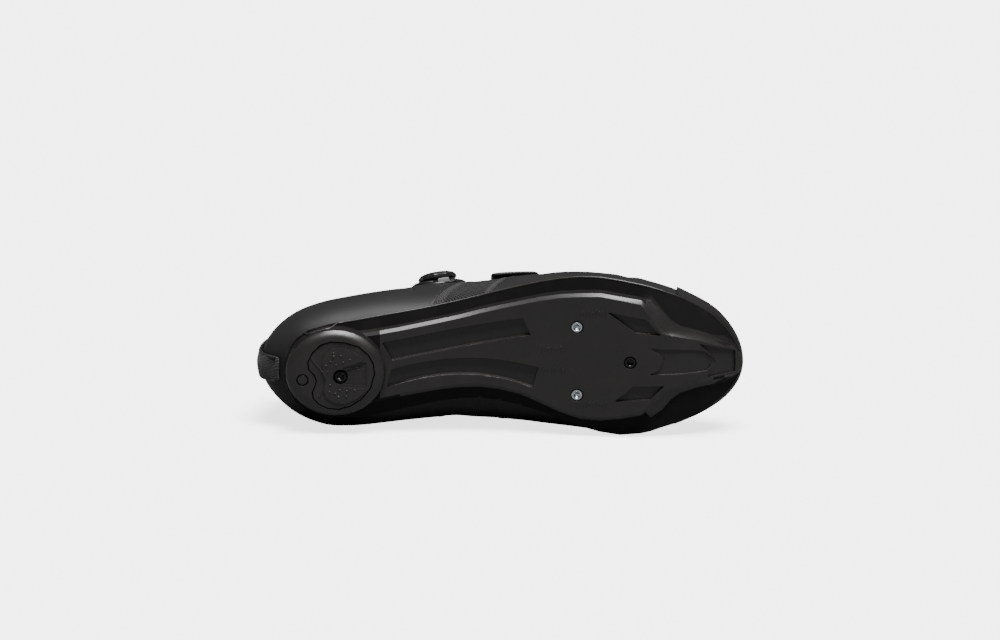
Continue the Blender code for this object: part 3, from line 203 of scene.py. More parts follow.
# %% A material and its nodes
class Finish:
    """One material and the nodes that give it its look."""

    def __init__(self, name):
        self.material = bpy.data.materials.new(name)
        self.material.use_nodes = True
        self.tree = self.material.node_tree
        self.shader = self.tree.nodes["Principled BSDF"]

    def node(self, kind, settings=None, values=None, output=0):
        made = self.tree.nodes.new(kind)
        for key, value in (settings or {}).items():
            setattr(made, key, value)
        for key, value in (values or {}).items():
            self.feed(made.inputs[key], value)
        return Field(self, made.outputs[output])

    def feed(self, socket, value):
        if isinstance(value, Field):
            self.tree.links.new(value.socket, socket)
        else:
            socket.default_value = value

    def surface(self, **values):
        for key, value in values.items():
            self.feed(self.shader.inputs[key.replace("_", " ")], value)
        return self.material

    def place(self):
        """The shoe's own measures of each point, as a vector."""
        room = self.node("ShaderNodeTexCoord", None, None, "Object")
        return self.node("ShaderNodeMapping", {"vector_type": "TEXTURE"}, {
            "Vector": room, "Location": LIE_PLACE, "Rotation": LIE_TURN})

    def measures(self):
        """Along, up and out as three fields."""
        apart = self.node("ShaderNodeSeparateXYZ", None, {"Vector": self.place()})
        return [apart] + [Field(self, apart.socket.node.outputs[index]) for index in (1, 2)]

    def noise(self, grain, detail=3.0, stretch=(1.0, 1.0, 1.0)):
        """Soft random patches, grain metres across."""
        place = self.node("ShaderNodeVectorMath", {"operation": "MULTIPLY"},
                          {0: self.place(), 1: stretch})
        return self.node("ShaderNodeTexNoise", None, {
            "Vector": place, "Scale": 1.0 / grain, "Detail": detail, "Roughness": 0.6})

    def blend(self, first, second, share):
        return self.node("ShaderNodeMix", {"data_type": "RGBA"},
                         {0: share, 6: (*first, 1.0), 7: (*second, 1.0)}, 2)

    def bump(self, height, depth, strength=1.0):
        """Relief whose height field of 1 stands depth metres proud."""
        return self.node("ShaderNodeBump", None,
                         {"Height": height, "Distance": depth, "Strength": strength})


paper = Finish("floor_paper")
seen = paper.node("ShaderNodeLightPath")
paper.surface(Base_Color=paper.blend((0.16, 0.16, 0.16), (0.95, 0.95, 0.95), seen), Roughness=1.0,
              Specular_IOR_Level=0.0)
paper.surface(Emission_Color=paper.blend((0.0, 0.0, 0.0), (1.0, 1.0, 1.0), seen), Emission_Strength=2.4)
floor.data.materials.append(paper.material)
print("materials so far:", len(bpy.data.materials))

# %% [markdown]
# The sole is injection moulded nylon: black with a trace of brown, satin, with the fine pitted
# skin of its steel mould, and a little more polished where it has been handled. Noise at three
# sizes does that. The wearing pad in the heel is a softer, duller rubber.


# %% Moulded finishes
def moulded(name, colour, dusty, gloss, pits, specular=0.5):
    """Moulded plastic or rubber; gloss is its roughness, pits the depth of its mould's skin."""
    made = Finish(name)
    clouds = made.noise(0.018, 4.0)
    skin = made.noise(0.00045, 2.0)
    return made.surface(
        Base_Color=made.blend(colour, dusty, clouds.ramp(0.42, 0.80)),
        Roughness=clouds * 0.10 + skin * 0.08 + (gloss - 0.09),
        Normal=made.bump(skin, pits, 0.9), Specular_IOR_Level=specular)


sole_look = moulded("sole_nylon", (0.0128, 0.0118, 0.0113), (0.0165, 0.0150, 0.0142),
                    0.36, 0.00004)
# The side is rougher and less shiny, and its colour is about half the sole's own, as painted shade for
# the hollow along the side.
shaded_side_look = moulded("sole_side", (0.0070, 0.0066, 0.0064), (0.0100, 0.0094, 0.0090),
                    0.55, 0.00006, 0.12)
pad_look = moulded("heel_rubber", (0.0125, 0.0115, 0.0110), (0.0190, 0.0175, 0.0165), 0.46, 0.00005)
dial_look = moulded("dial_plastic", (0.0090, 0.0088, 0.0088), (0.0120, 0.0116, 0.0112), 0.30, 0.00001)
guide_look = moulded("guide_plastic", (0.0100, 0.0100, 0.0102), (0.0150, 0.0148, 0.0145),
                     0.38, 0.00002)
housing_look = moulded("housing_plastic", (0.10, 0.10, 0.102), (0.13, 0.13, 0.132), 0.45, 0.00002)

# %% [markdown]
# Quarter and vamp are a thin smooth film welded on cloth. It is matt, with a faint pebble that
# only shows where light grazes it, and slight orange peel from the press.


# %% Coated cloth
def coated(name, colour, worn, gloss, grain=0.0007):
    made = Finish(name)
    pebble = made.node("ShaderNodeTexVoronoi", {"feature": "SMOOTH_F1"},
                       {"Vector": made.place(), "Scale": 1.0 / grain, "Smoothness": 0.6})
    peel = made.noise(0.006, 2.0)
    clouds = made.noise(0.030, 3.0)
    return made.surface(
        Base_Color=made.blend(colour, worn, clouds.ramp(0.40, 0.85)),
        Roughness=clouds * 0.10 + (gloss - 0.05),
        Normal=made.bump(pebble * 0.35 + peel, 0.00006, 0.8), Specular_IOR_Level=0.32)


coat_look = coated("upper_film", (0.0078, 0.0074, 0.0074), (0.0105, 0.0100, 0.0098), 0.56)
cap_look = coated("toe_film", (0.0090, 0.0085, 0.0083), (0.0120, 0.0113, 0.0110), 0.47, 0.0011)

# %% [markdown]
# Knitted mesh is rows of small holes, each row half a hole on from the last. Two waves that cross
# give the holes: they are deeper, with painted shade in them. On the sides height drives the
# pattern, and over the instep the distance from the middle does, so their difference serves for both.

# %% Knit, weave and lining
MESH_PITCH = 0.00150


def over_foot(made):
    """Two fields over the skin: along the shoe and across it, both in metres."""
    along, up, out = made.measures()
    return along, (up - out.size()) * 0.78


# The hole colour is painted shade in the holes of the knit; the same mask also gives their real depth.
def knitted(name, pitch, thread, hole_shade, depth, fuzz=0.25):
    made = Finish(name)
    along, across = over_foot(made)
    lean = along + across * 0.35
    fold = lean.wave(pitch) * across.wave(pitch * 0.8)
    other = (lean + 0.5 * pitch).wave(pitch) * (across + 0.4 * pitch).wave(pitch * 0.8)
    holes_and_shade = fold.higher(other).ramp(0.30, 0.72)
    yarn = made.noise(pitch * 0.12, 2.0)
    return made.surface(
        Base_Color=made.blend(hole_shade, thread, holes_and_shade), Roughness=0.80 + yarn * 0.15,
        Normal=made.bump(holes_and_shade + yarn * fuzz, depth), Specular_IOR_Level=0.22,
        Sheen_Weight=0.06, Sheen_Roughness=0.5)


# The gap colour is painted shade between the ribs of the weave.
def herringbone(name, slant, thread, gap_shade):
    """Woven band; slant is how far its edge runs forward for each metre up."""
    made = Finish(name)
    along, up, out = made.measures()
    across = along - up * slant
    bend = across.zigzag(0.0028)
    ribs_and_shade = (up * 1.15 - out.size() * 0.5 + bend * 1.4).wave(0.00150)
    threads = (across + up * 0.6).wave(0.00042)
    yarn = made.noise(0.0002, 2.0)
    return made.surface(
        Base_Color=made.blend(gap_shade, thread, ribs_and_shade.ramp(0.15, 0.7)), Roughness=0.72 + yarn * 0.15,
        Normal=made.bump(ribs_and_shade.ramp(0.0, 0.8) + threads * 0.25 + yarn * 0.2, 0.00035),
        Specular_IOR_Level=0.35, Sheen_Weight=0.08, Sheen_Roughness=0.4)


# Its gap colour is painted shade between the ribs and the twill.
def ribbed(name, thread, gap_shade):
    """The heel tape: twill on its outer half, fine ribs along it on its inner half."""
    made = Finish(name)
    along, up, out = made.measures()
    twill = (out + up * 0.9 + along * 0.4).wave(0.00125)
    ribs_and_shade = out.wave(0.00085)
    half = out.ramp(0.0000, 0.0004)
    picks = (up * 1.0 - along * 0.6).wave(0.0007)
    rows_and_shade = ribs_and_shade + (twill - ribs_and_shade) * half
    return made.surface(
        Base_Color=made.blend(gap_shade, thread, rows_and_shade), Roughness=0.66 + picks * 0.12,
        Normal=made.bump(rows_and_shade + picks * 0.3, 0.00022), Specular_IOR_Level=0.4,
        Sheen_Weight=0.2, Sheen_Roughness=0.4)


# Painted shade in the knit's holes, far darker than the yarn.
HOLE_SHADE = (0.0004, 0.0004, 0.0004)
# Painted shade in the gaps between woven ribs.
GAP_SHADE = (0.0006, 0.0006, 0.0006)
# The last colour given to each knit is painted shade in its holes.
mesh_look = knitted("upper_mesh", MESH_PITCH, (0.0200, 0.0192, 0.0185), HOLE_SHADE, 0.00070)
lining_look = knitted("lining_knit", 0.0009, (0.0210, 0.0210, 0.0225), (0.0090, 0.0090, 0.0095),
                      0.00012)
insole_look = knitted("insole_felt", 0.0011, (0.0300, 0.0300, 0.0330), (0.0160, 0.0160, 0.0170),
                      0.00010, 0.6)
tongue_look = knitted("tongue_mesh", 0.0016, (0.0170, 0.0170, 0.0180), (0.0050, 0.0050, 0.0055),
                      0.00030)
# The last colour of each weave is painted shade between its ribs.
rear_band_look = herringbone("rear_band_weave", 0.50, (0.0330, 0.0310, 0.0300), GAP_SHADE)
front_band_look = herringbone("front_band_weave", 0.525, (0.0320, 0.0300, 0.0290), GAP_SHADE)
tape_look = ribbed("heel_tape_weave", (0.0260, 0.0250, 0.0245), (0.0080, 0.0078, 0.0076))
strap_look = coated("strap_film", (0.0075, 0.0073, 0.0073), (0.0110, 0.0107, 0.0105), 0.50, 0.0005)
print("materials:", len(bpy.data.materials))

# %% [markdown]
# Steel is bright where the nuts are turned and black where they are coated. Turning leaves rings
# round the bore; here fine noise in the roughness and a little bump stand for them. Thread for
# sewing and the lace are shiny twisted yarn, with painted shade between the plies.


# %% Metal and thread
def turned(name, colour, dull, gloss):
    made = Finish(name)
    marks = made.noise(0.0004, 3.0, (1.0, 1.0, 4.0))
    return made.surface(
        Base_Color=made.blend(dull, colour, marks.ramp(0.30, 0.62)), Metallic=1.0,
        Roughness=marks * 0.18 + gloss, Normal=made.bump(marks, 0.00003, 0.7))


# Its gap colour is painted shade in the grooves between the plies.
def twisted(name, colour, gap_shade, twist, gloss):
    made = Finish(name)
    along, up, out = made.measures()
    ply_and_shade = (along + up * 0.8 + out * 1.3).wave(twist)
    return made.surface(
        Base_Color=made.blend(gap_shade, colour, ply_and_shade), Roughness=gloss + ply_and_shade * 0.05,
        Normal=made.bump(ply_and_shade, 0.00006), Specular_IOR_Level=0.45)


steel_look = turned("bright_steel", (0.66, 0.70, 0.74), (0.36, 0.38, 0.40), 0.16)
black_steel_look = turned("black_steel", (0.050, 0.049, 0.048), (0.030, 0.029, 0.029), 0.26)
# The last colour of each yarn is painted shade between its plies.
thread_look = twisted("sewing_thread", (0.0210, 0.0205, 0.0205), (0.0080, 0.0080, 0.0080), 0.0005, 0.45)
lace_look = twisted("lace_cover", (0.0150, 0.0150, 0.0160), (0.0060, 0.0060, 0.0060), 0.0009, 0.38)
print("materials in all:", len(bpy.data.materials))

# %% [markdown]
# Each CAD node is triangles laid loose side by side. A copy is merged first. A soft piece is then
# brought back to four-sided faces and rounded by Subdivision Surface. A moulded piece keeps its
# flats, so its edges get a small Bevel, and Weighted Normal keeps the flats level beside it.


# %% Copies of the CAD nodes, refined
def only(item):
    bpy.ops.object.select_all(action="DESELECT")
    item.select_set(True)
    bpy.context.view_layer.objects.active = item


def copy_of(node, name):
    item = bpy.data.objects.new(name, nodes[node].data.copy())
    bpy.context.scene.collection.objects.link(item)
    item.data.materials.clear()
    only(item)
    bpy.ops.object.mode_set(mode="EDIT")
    bpy.ops.mesh.select_all(action="SELECT")
    bpy.ops.mesh.remove_doubles(threshold=0.00001)
    bpy.ops.object.mode_set(mode="OBJECT")
    return item


def finished(kind, **settings):
    """Adds one modifier to the active piece and applies it."""
    bpy.ops.object.modifier_add(type=kind)
    modifier = bpy.context.object.modifiers[-1]
    for key, value in settings.items():
        setattr(modifier, key, value)
    bpy.ops.object.modifier_apply(modifier=modifier.name)


def settle(item, look, slot, *stands_for):
    """Gives a piece its finish and its body, and hides the solids it stands for; slot is not used."""
    if not item.data.materials:
        item.data.materials.append(look)
    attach(item, "root")
    if stands_for:
        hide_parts(*stands_for)
    print(item.name, len(item.data.polygons), "faces")
    return item


def smoothed(node, name, levels):
    item = copy_of(node, name)
    bpy.ops.object.mode_set(mode="EDIT")
    bpy.ops.mesh.select_all(action="SELECT")
    bpy.ops.mesh.tris_convert_to_quads(face_threshold=math.radians(60),
                                       shape_threshold=math.radians(60))
    bpy.ops.object.mode_set(mode="OBJECT")
    finished("SUBSURF", levels=levels, render_levels=levels)
    bpy.ops.object.shade_smooth()
    return item


def crisp(node, name, width, angle=28.0, segments=2, smooth=35.0, clamp=True):
    item = copy_of(node, name)
    bpy.ops.object.mode_set(mode="EDIT")
    bpy.ops.mesh.select_all(action="SELECT")
    bpy.ops.mesh.dissolve_limited(angle_limit=math.radians(0.3))
    bpy.ops.object.mode_set(mode="OBJECT")
    finished("BEVEL", width=width, segments=segments, limit_method="ANGLE",
             angle_limit=math.radians(angle), use_clamp_overlap=clamp)
    bpy.ops.object.shade_smooth_by_angle(angle=math.radians(smooth))
    finished("WEIGHTED_NORMAL", keep_sharp=True, weight=80)
    return item


# %% Sole and heel pad
sole_shell = settle(crisp("outsole", "sole_shell", 0.00018, smooth=22.0, clamp=False), sole_look,
                    "sole_black", "outsole")
wear_pad = settle(crisp("heel_insert", "wear_pad", 0.0002), pad_look, "insert_black", "heel_insert")

# %% [markdown]
# Small details are placed where the photograph shows them. A line from the camera through a
# place in the picture meets the surface of the piece that carries the detail, which gives both
# its point and its slope. A tree of the piece's faces makes that search quick.


# %% Finding places on a surface
def surface_of(item):
    mesh = item.data
    return BVHTree.FromPolygons([vertex.co for vertex in mesh.vertices],
                                [tuple(face.vertices) for face in mesh.polygons])


def seen_at(tree, across, down):
    """Point and slope where the picture's place meets a surface."""
    target = (aim + (across - PICTURE_MIDDLE[0]) * PIXEL * right
              + (PICTURE_MIDDLE[1] - down) * PIXEL * upright)
    start = camera.matrix_world.translation
    point, normal, index, distance = tree.ray_cast(start, (target - start).normalized())
    return point, normal


def strung(points, step):
    """The same line with points at even steps."""
    spans = [(second - first).length for first, second in zip(points, points[1:])]
    places = np.concatenate([[0.0], np.cumsum(spans)])
    count = max(2, int(round(places[-1] / step)) + 1)
    wanted = np.linspace(0.0, places[-1], count)
    axes = [np.interp(wanted, places, [point[axis] for point in points]) for axis in range(3)]
    return [Vector(place) for place in zip(*axes)]


def rounded_line(points, passes=2):
    """Cuts the corners of a line, again and again."""
    for _ in range(passes):
        cut = [points[0]]
        for first, second in zip(points, points[1:]):
            cut += [first.lerp(second, 0.25), first.lerp(second, 0.75)]
        points = cut + [points[-1]]
    return points


def tube(name, lines, radius, sides=8):
    """Round bars along the given lines, joined in one mesh."""
    curve = bpy.data.curves.new(name, "CURVE")
    curve.dimensions = "3D"
    curve.bevel_depth = radius
    curve.bevel_resolution = sides // 2 - 2
    curve.use_fill_caps = True
    for line in lines:
        spline = curve.splines.new("POLY")
        spline.points.add(len(line) - 1)
        for knot, place in zip(spline.points, line):
            knot.co = (*place, 1.0)
    item = bpy.data.objects.new(name, curve)
    bpy.context.scene.collection.objects.link(item)
    only(item)
    bpy.ops.object.convert(target="MESH")
    item = bpy.context.object
    bpy.ops.object.shade_smooth()
    return item


print("sole faces to search:", len(sole_shell.data.polygons))

# %% [markdown]
# The sole's rim is rounded where it left the mould, and that edge shines all round the shoe. The
# sole is cut at many places along its length, its outermost low corner is found in each cut, and
# a thin bead runs along those corners. On the inner side, which lies on the floor, it is flush.

# %% Bead of the sole's rim
BEAD = 0.00060
BEAD_PROUD_OUTER = 0.00035
BEAD_PROUD_INNER = 0.00002
EDGE_SLACK = 0.0006


def cut_points(item, along):
    """Where the edges of a mesh cross one place along the shoe, in the shoe's measures."""
    flat = np.empty(3 * len(item.data.vertices))
    item.data.vertices.foreach_get("co", flat)
    turn = np.array(unlie.to_3x3())
    places = (flat.reshape(-1, 3) - np.array(lie.translation)) @ turn.T
    pairs = np.empty(2 * len(item.data.edges), dtype=int)
    item.data.edges.foreach_get("vertices", pairs)
    first, second = places[pairs[0::2]], places[pairs[1::2]]
    crossed = (first[:, 0] - along) * (second[:, 0] - along) < 0.0
    first, second = first[crossed], second[crossed]
    share = (along - first[:, :1]) / (second[:, :1] - first[:, :1])
    return first + share * (second - first)


def rim_corner(along, side, proud):
    points = cut_points(sole_shell, along)
    edge = (side * points[:, 2]).max()
    outer = points[side * points[:, 2] > edge - EDGE_SLACK]
    low = outer[:, 1].min()
    return spot(along, side * (edge - BEAD + proud), low + BEAD - 0.5 * proud)


rim_alongs = np.concatenate([np.linspace(0.0162, 0.030, 8)[:-1], np.linspace(0.030, 0.235, 60)[:-1],
                             np.linspace(0.235, 0.2640, 16)])
outer_rim = [rim_corner(float(along), 1.0, BEAD_PROUD_OUTER) for along in rim_alongs]
inner_rim = [rim_corner(float(along), -1.0, BEAD_PROUD_INNER) for along in rim_alongs]
settle(tube("rim_bead", [list(reversed(inner_rim)) + outer_rim], BEAD, 10), sole_look, "sole_black")

# %% [markdown]
# The mould's skin is coarse and matt on the hollow side of the sole, and smooth underneath. The
# side's colour is also darker than the nylon's own: painted shade for the hollow. So the side
# becomes a piece of its own: every face well above the lowest point of its own section.

# %% Matt side of the sole, with painted shade
SIDE_FROM = 0.0024
HOLLOW_FROM = 0.0040
HOLLOW_BY_PAD = 0.0075
PAD_END = 0.080
LEANING = 0.5
SECTION = 0.006
lowest = {}
for vertex in sole_shell.data.vertices:
    place = unlie @ vertex.co
    section = round(place.x / SECTION)
    lowest[section] = min(place.y, lowest.get(section, 1.0))
sections = sorted(lowest)
lows = [lowest[section] for section in sections]


def on_side(face):
    middle = unlie @ face.center
    leaning = abs((unlie.to_3x3() @ face.normal).z) > LEANING
    height = middle.y - np.interp(middle.x / SECTION, sections, lows)
    hollow_from = HOLLOW_BY_PAD if middle.x < PAD_END else HOLLOW_FROM
    return height > hollow_from or (height > SIDE_FROM and leaning)


def without(item, unwanted):
    """Deletes the faces that unwanted says yes to."""
    only(item)
    bpy.ops.object.mode_set(mode="EDIT")
    bpy.ops.mesh.select_mode(type="FACE")
    bpy.ops.mesh.select_all(action="DESELECT")
    bpy.ops.object.mode_set(mode="OBJECT")
    for face in item.data.polygons:
        face.select = unwanted(face)
    bpy.ops.object.mode_set(mode="EDIT")
    bpy.ops.mesh.delete(type="FACE")
    bpy.ops.object.mode_set(mode="OBJECT")


sole_side = sole_shell.copy()
sole_side.name = "sole_side"
sole_side.data = sole_shell.data.copy()
sole_side.data.materials.clear()
bpy.context.scene.collection.objects.link(sole_side)
without(sole_side, lambda face: not on_side(face))
without(sole_shell, on_side)
settle(sole_side, shaded_side_look, "sole_black")
print("faces left underneath:", len(sole_shell.data.polygons))

# %% [markdown]
# Many equal small things, such as stitches and the knobs of the wearing pad, are one small shape
# copied to many places in a single mesh. A place is a point, the way it faces and the way it runs.


# %% Copies of one small shape
def shape_of(operator, **settings):
    """The points and faces of one primitive, which is removed again."""
    bpy.ops.object.select_all(action="DESELECT")
    operator(**settings)
    item = bpy.context.object
    points = [vertex.co.copy() for vertex in item.data.vertices]
    faces = [tuple(face.vertices) for face in item.data.polygons]
    bpy.data.objects.remove(item)
    return points, faces


def stand(point, facing, running=Vector((1.0, 0.0, 0.0)), stretch=(1.0, 1.0, 1.0)):
    """A matrix that stands a shape on a surface, its x along running and its z along facing."""
    first = (running - running.dot(facing) * facing).normalized()
    turn = Matrix((first, facing.cross(first), facing)).transposed().to_4x4()
    return Matrix.Translation(point) @ turn @ Matrix.Diagonal((*stretch, 1.0))


def copies(name, shape, places):
    points, faces = shape
    mesh = bpy.data.meshes.new(name)
    count = len(points)
    mesh.from_pydata([place @ point for place in places for point in points], [],
                     [tuple(index * count + corner for corner in face)
                      for index in range(len(places)) for face in faces])
    item = bpy.data.objects.new(name, mesh)
    bpy.context.scene.collection.objects.link(item)
    only(item)
    bpy.ops.object.shade_smooth()
    return item


knob_shape = shape_of(bpy.ops.mesh.primitive_uv_sphere_add, segments=12, ring_count=8, radius=1.0)
stitch_shape = shape_of(bpy.ops.mesh.primitive_uv_sphere_add, segments=8, ring_count=8, radius=1.0)
print("knob:", len(knob_shape[1]), "faces, stitch:", len(stitch_shape[1]), "faces")

# %% [markdown]
# The upper is one shell of knitted cloth with film welded on it. Its skin is rounded first. Then
# a few long soft folds, listed below, are pressed in where a foot bends it: across the vamp behind
# the toe, beside the tongue, and round the ankle. Both walls move together, so the cloth keeps its
# thickness. The outer wall also sinks by the thickness of the film that is laid on it later.

# %% Folds of the upper
FILM = 0.00045
AXIS_FROM, AXIS_TO = 0.045, 0.215
AXIS_UP, AXIS_OUT = 0.033, -0.002


def shoe_measures(point):
    """Along, up and out of a point of the room."""
    return unlie @ point


def from_axis(place):
    """The direction from the middle of the foot to a place, both in the shoe's measures."""
    middle = Vector((min(max(place.x, AXIS_FROM), AXIS_TO), AXIS_UP, AXIS_OUT))
    return (place - middle).normalized()


FOLDS = (
    # side, along, lean, up, reach, width, depth
    (1, 0.0760, -0.35, 0.064, 0.022, 0.0042, -0.0008),
    (1, 0.0880, -0.45, 0.060, 0.020, 0.0046, 0.0005),
    (1, 0.0640, -0.25, 0.066, 0.020, 0.0050, 0.0004),
    (-1, 0.0780, -0.40, 0.062, 0.026, 0.0050, -0.0010),
    (-1, 0.0920, -0.50, 0.058, 0.022, 0.0050, 0.0006),
    (-1, 0.0630, -0.20, 0.066, 0.022, 0.0055, 0.0005),
    (0, 0.1990, -0.30, 0.046, 0.026, 0.0034, -0.0009),
    (0, 0.2050, -0.35, 0.043, 0.024, 0.0038, 0.0005),
    (0, 0.1930, -0.25, 0.049, 0.024, 0.0040, 0.0004),
    (1, 0.1620, 0.55, 0.048, 0.020, 0.0046, -0.0006),
    (-1, 0.1600, 0.60, 0.046, 0.022, 0.0050, -0.0009),
    (-1, 0.1080, 0.40, 0.030, 0.016, 0.0070, -0.0006),
)


def pressed(place):
    """How far the folds move the skin at one place."""
    total = 0.0
    for side, along, lean, up, reach, width, depth in FOLDS:
        if side * place.z < 0.0:
            continue
        high = (place.y - up) / reach
        if abs(high) < 1.0:
            off = (place.x - along - lean * (place.y - up)) / width
            total += depth * math.exp(-off * off) * (1.0 - high * high) ** 2
    return total


upper_skin = smoothed("upper", "upper_skin", 2)
for vertex in upper_skin.data.vertices:
    place = shoe_measures(vertex.co)
    vertex.co = lie @ (place + pressed(place) * from_axis(place))
print("folds pressed:", len(FOLDS))


# %% The outside of the skin
def faces_out(face):
    return from_axis(shoe_measures(face.center)).dot(unlie.to_3x3() @ face.normal) > 0.0


outside = bpy.data.objects.new("outside", upper_skin.data.copy())
bpy.context.scene.collection.objects.link(outside)
without(outside, lambda face: not faces_out(face))
skin_tree = surface_of(outside)
upper_skin.data.materials.append(mesh_look)
upper_skin.data.materials.append(lining_look)
sunk = set()
for face in upper_skin.data.polygons:
    if faces_out(face):
        sunk.update(face.vertices)
    else:
        face.material_index = 1
inward = {index: FILM * upper_skin.data.vertices[index].normal.copy() for index in sunk}
for index, move in inward.items():
    upper_skin.data.vertices[index].co -= move
settle(upper_skin, mesh_look, "upper_black", "upper")
print("outside:", len(outside.data.polygons), "faces")

# %% [markdown]
# The film panels are cut from that outside as a pattern maker cuts them: the quarter round the
# heel, the vamp over the toes, and a woven band along the edge of each, with open mesh between.
# Bisect cuts along a plane, and Solidify and Bevel give the film its thickness and its edge.

# %% Panels cut from the outside
QUARTER_EDGE = (0.0858, 0.50)
VAMP_EDGE = (0.1175, 0.525)
BAND = 0.0056
BAND_LIFT = -0.00012
across_shoe = lie.to_3x3() @ Vector((0.0, 0.0, 1.0))


def edge_along(edge, up, past=0.0):
    """Where a panel's edge runs at one height, moved forward by past."""
    return edge[0] + past + edge[1] * up


def keep_side(edge, past, forward):
    """Cuts the active mesh along a panel's edge and keeps the part in front or behind."""
    way = 1.0 if forward else -1.0
    bpy.ops.mesh.select_all(action="SELECT")
    bpy.ops.mesh.bisect(plane_co=spot(edge[0] + past, 0.0, 0.0),
                        plane_no=lie.to_3x3() @ Vector((way, -way * edge[1], 0.0)).normalized(),
                        clear_inner=True)


def trimmed(rings):
    """Takes whole rings of faces off the open edges of the active mesh."""
    for _ in range(rings):
        bpy.ops.mesh.select_all(action="DESELECT")
        bpy.ops.mesh.select_non_manifold(extend=False, use_wire=False, use_multi_face=False,
                                         use_non_contiguous=False, use_verts=False)
        bpy.ops.mesh.select_more()
        bpy.ops.mesh.delete(type="FACE")


def half_only(side):
    """Keeps the outer or inner half of the active mesh."""
    bpy.ops.mesh.select_all(action="SELECT")
    bpy.ops.mesh.bisect(plane_co=spot(0.0, AXIS_OUT, 0.0), plane_no=side * across_shoe,
                        clear_inner=True)


def panel(name, cuts, rings, thickness, edge_round, lift=0.0, side=0.0):
    item = bpy.data.objects.new(name, outside.data.copy())
    bpy.context.scene.collection.objects.link(item)
    only(item)
    bpy.ops.object.mode_set(mode="EDIT")
    bpy.ops.mesh.select_mode(type="EDGE")
    trimmed(rings)
    for edge, past, forward in cuts:
        keep_side(edge, past, forward)
    if side:
        half_only(side)
    if lift:
        bpy.ops.mesh.select_all(action="SELECT")
        bpy.ops.transform.shrink_fatten(value=lift)
    bpy.ops.object.mode_set(mode="OBJECT")
    finished("SOLIDIFY", thickness=thickness, offset=-1.0)
    finished("BEVEL", width=edge_round, segments=2, limit_method="ANGLE", angle_limit=math.radians(50))
    bpy.ops.object.shade_smooth_by_angle(angle=math.radians(40))
    return item


quarter_film = panel("quarter_film", [(QUARTER_EDGE, 0.0, False)], 1, FILM + 0.0001, 0.00014)
vamp_film = panel("vamp_film", [(VAMP_EDGE, 0.0, True)], 1, FILM + 0.0001, 0.00014)
waist_film = panel("waist_film", [(QUARTER_EDGE, -0.0030, True), (VAMP_EDGE, 0.0030, False)], 2,
                   FILM, 0.00010, -0.00015, -1.0)
rear_band = panel("rear_band", [(QUARTER_EDGE, 0.0002, True), (QUARTER_EDGE, BAND, False)], 1,
                  0.0004, 0.00008, BAND_LIFT, 1.0)
front_band = panel("front_band", [(VAMP_EDGE, -BAND, True), (VAMP_EDGE, -0.0002, False)], 1,
                   0.0004, 0.00008, BAND_LIFT, 1.0)

# %% [markdown]
# Five small holes are punched through the quarter under the dial. Real holes catch a dark dot
# from every side, so they are cut with Boolean and not painted.

# %% Punched holes
HOLES = ((402.0, 291.0), (412.0, 289.5), (422.0, 288.0), (432.5, 287.0), (442.5, 286.0))
HOLE_SIZE = (0.00055, 0.00055, 0.0012)
bolt_shape = shape_of(bpy.ops.mesh.primitive_cylinder_add, vertices=12, radius=1.0, depth=2.0)
punch_places = []
for across, down in HOLES:
    point, facing = seen_at(skin_tree, across, down)
    punch_places.append(stand(point, facing, stretch=HOLE_SIZE))
punches = copies("punches", bolt_shape, punch_places)
only(quarter_film)
finished("BOOLEAN", operation="DIFFERENCE", object=punches, solver="EXACT")
bpy.data.objects.remove(punches)
for item, look in ((quarter_film, coat_look), (vamp_film, coat_look), (waist_film, coat_look),
                   (rear_band, rear_band_look), (front_band, front_band_look)):
    settle(item, look, "upper_black")
print("holes:", len(HOLES))

# %% [markdown]
# Stitches hold the bands to the film. A line of rays from the side finds the skin at each height,
# and a row of short grains of thread lies along it, each pressed a little into the cloth.


# %% Stitches
def side_line(tree, edge, past, low, high, side, count=40):
    """Points and slopes up one side of the shoe along a panel's edge."""
    found = []
    for up in np.linspace(low, high, count):
        start = spot(edge_along(edge, up, past), side * 0.120, up)
        point, facing, index, distance = tree.ray_cast(start, lie.to_3x3() @ Vector((0.0, 0.0, -side)))
        if point:
            found.append((point, facing))
    return found


def stitches(found, pitch, length, width, lift=0.00012, across=False):
    """Places for one row of stitches along points with slopes."""
    line = strung([point for point, facing in found], pitch)
    places = []
    for first, second in zip(line, line[1:]):
        middle = first.lerp(second, 0.5)
        facing = min(found, key=lambda pair: (pair[0] - middle).length)[1]
        running = (second - first).normalized()
        if across:
            running = facing.cross(running)
        grain = (0.5 * length, 0.5 * width, 0.35 * width)
        places.append(stand(middle + lift * facing, facing, running, grain))
    return places


SEAM_LOW = 0.014
VAMP_HIGH = 0.057
LONG_STITCH = (0.0024, 0.0019, 0.00042)
SHORT_STITCH = (0.0017, 0.0015, 0.00040)
seam_places = []
for side, high in ((1.0, 0.060), (-1.0, 0.062)):
    quarter_line = side_line(skin_tree, QUARTER_EDGE, -0.0016, SEAM_LOW, high, side)
    vamp_line = side_line(skin_tree, VAMP_EDGE, 0.0013, SEAM_LOW, VAMP_HIGH, side)
    edge_line = side_line(skin_tree, VAMP_EDGE, -0.0002, SEAM_LOW, VAMP_HIGH, side)
    seam_places += stitches(quarter_line, *LONG_STITCH)
    seam_places += stitches(vamp_line, *LONG_STITCH)
    seam_places += stitches(edge_line, *SHORT_STITCH, across=True)
settle(copies("seam_thread", stitch_shape, seam_places), thread_look, "upper_black")

# %% [markdown]
# Toe cap, tongue, strap, heel tape and insole are smaller lofts of cloth or film, rounded the same
# way. The strap's long edges are sewn, and the tape has a raised cord woven in along each edge.

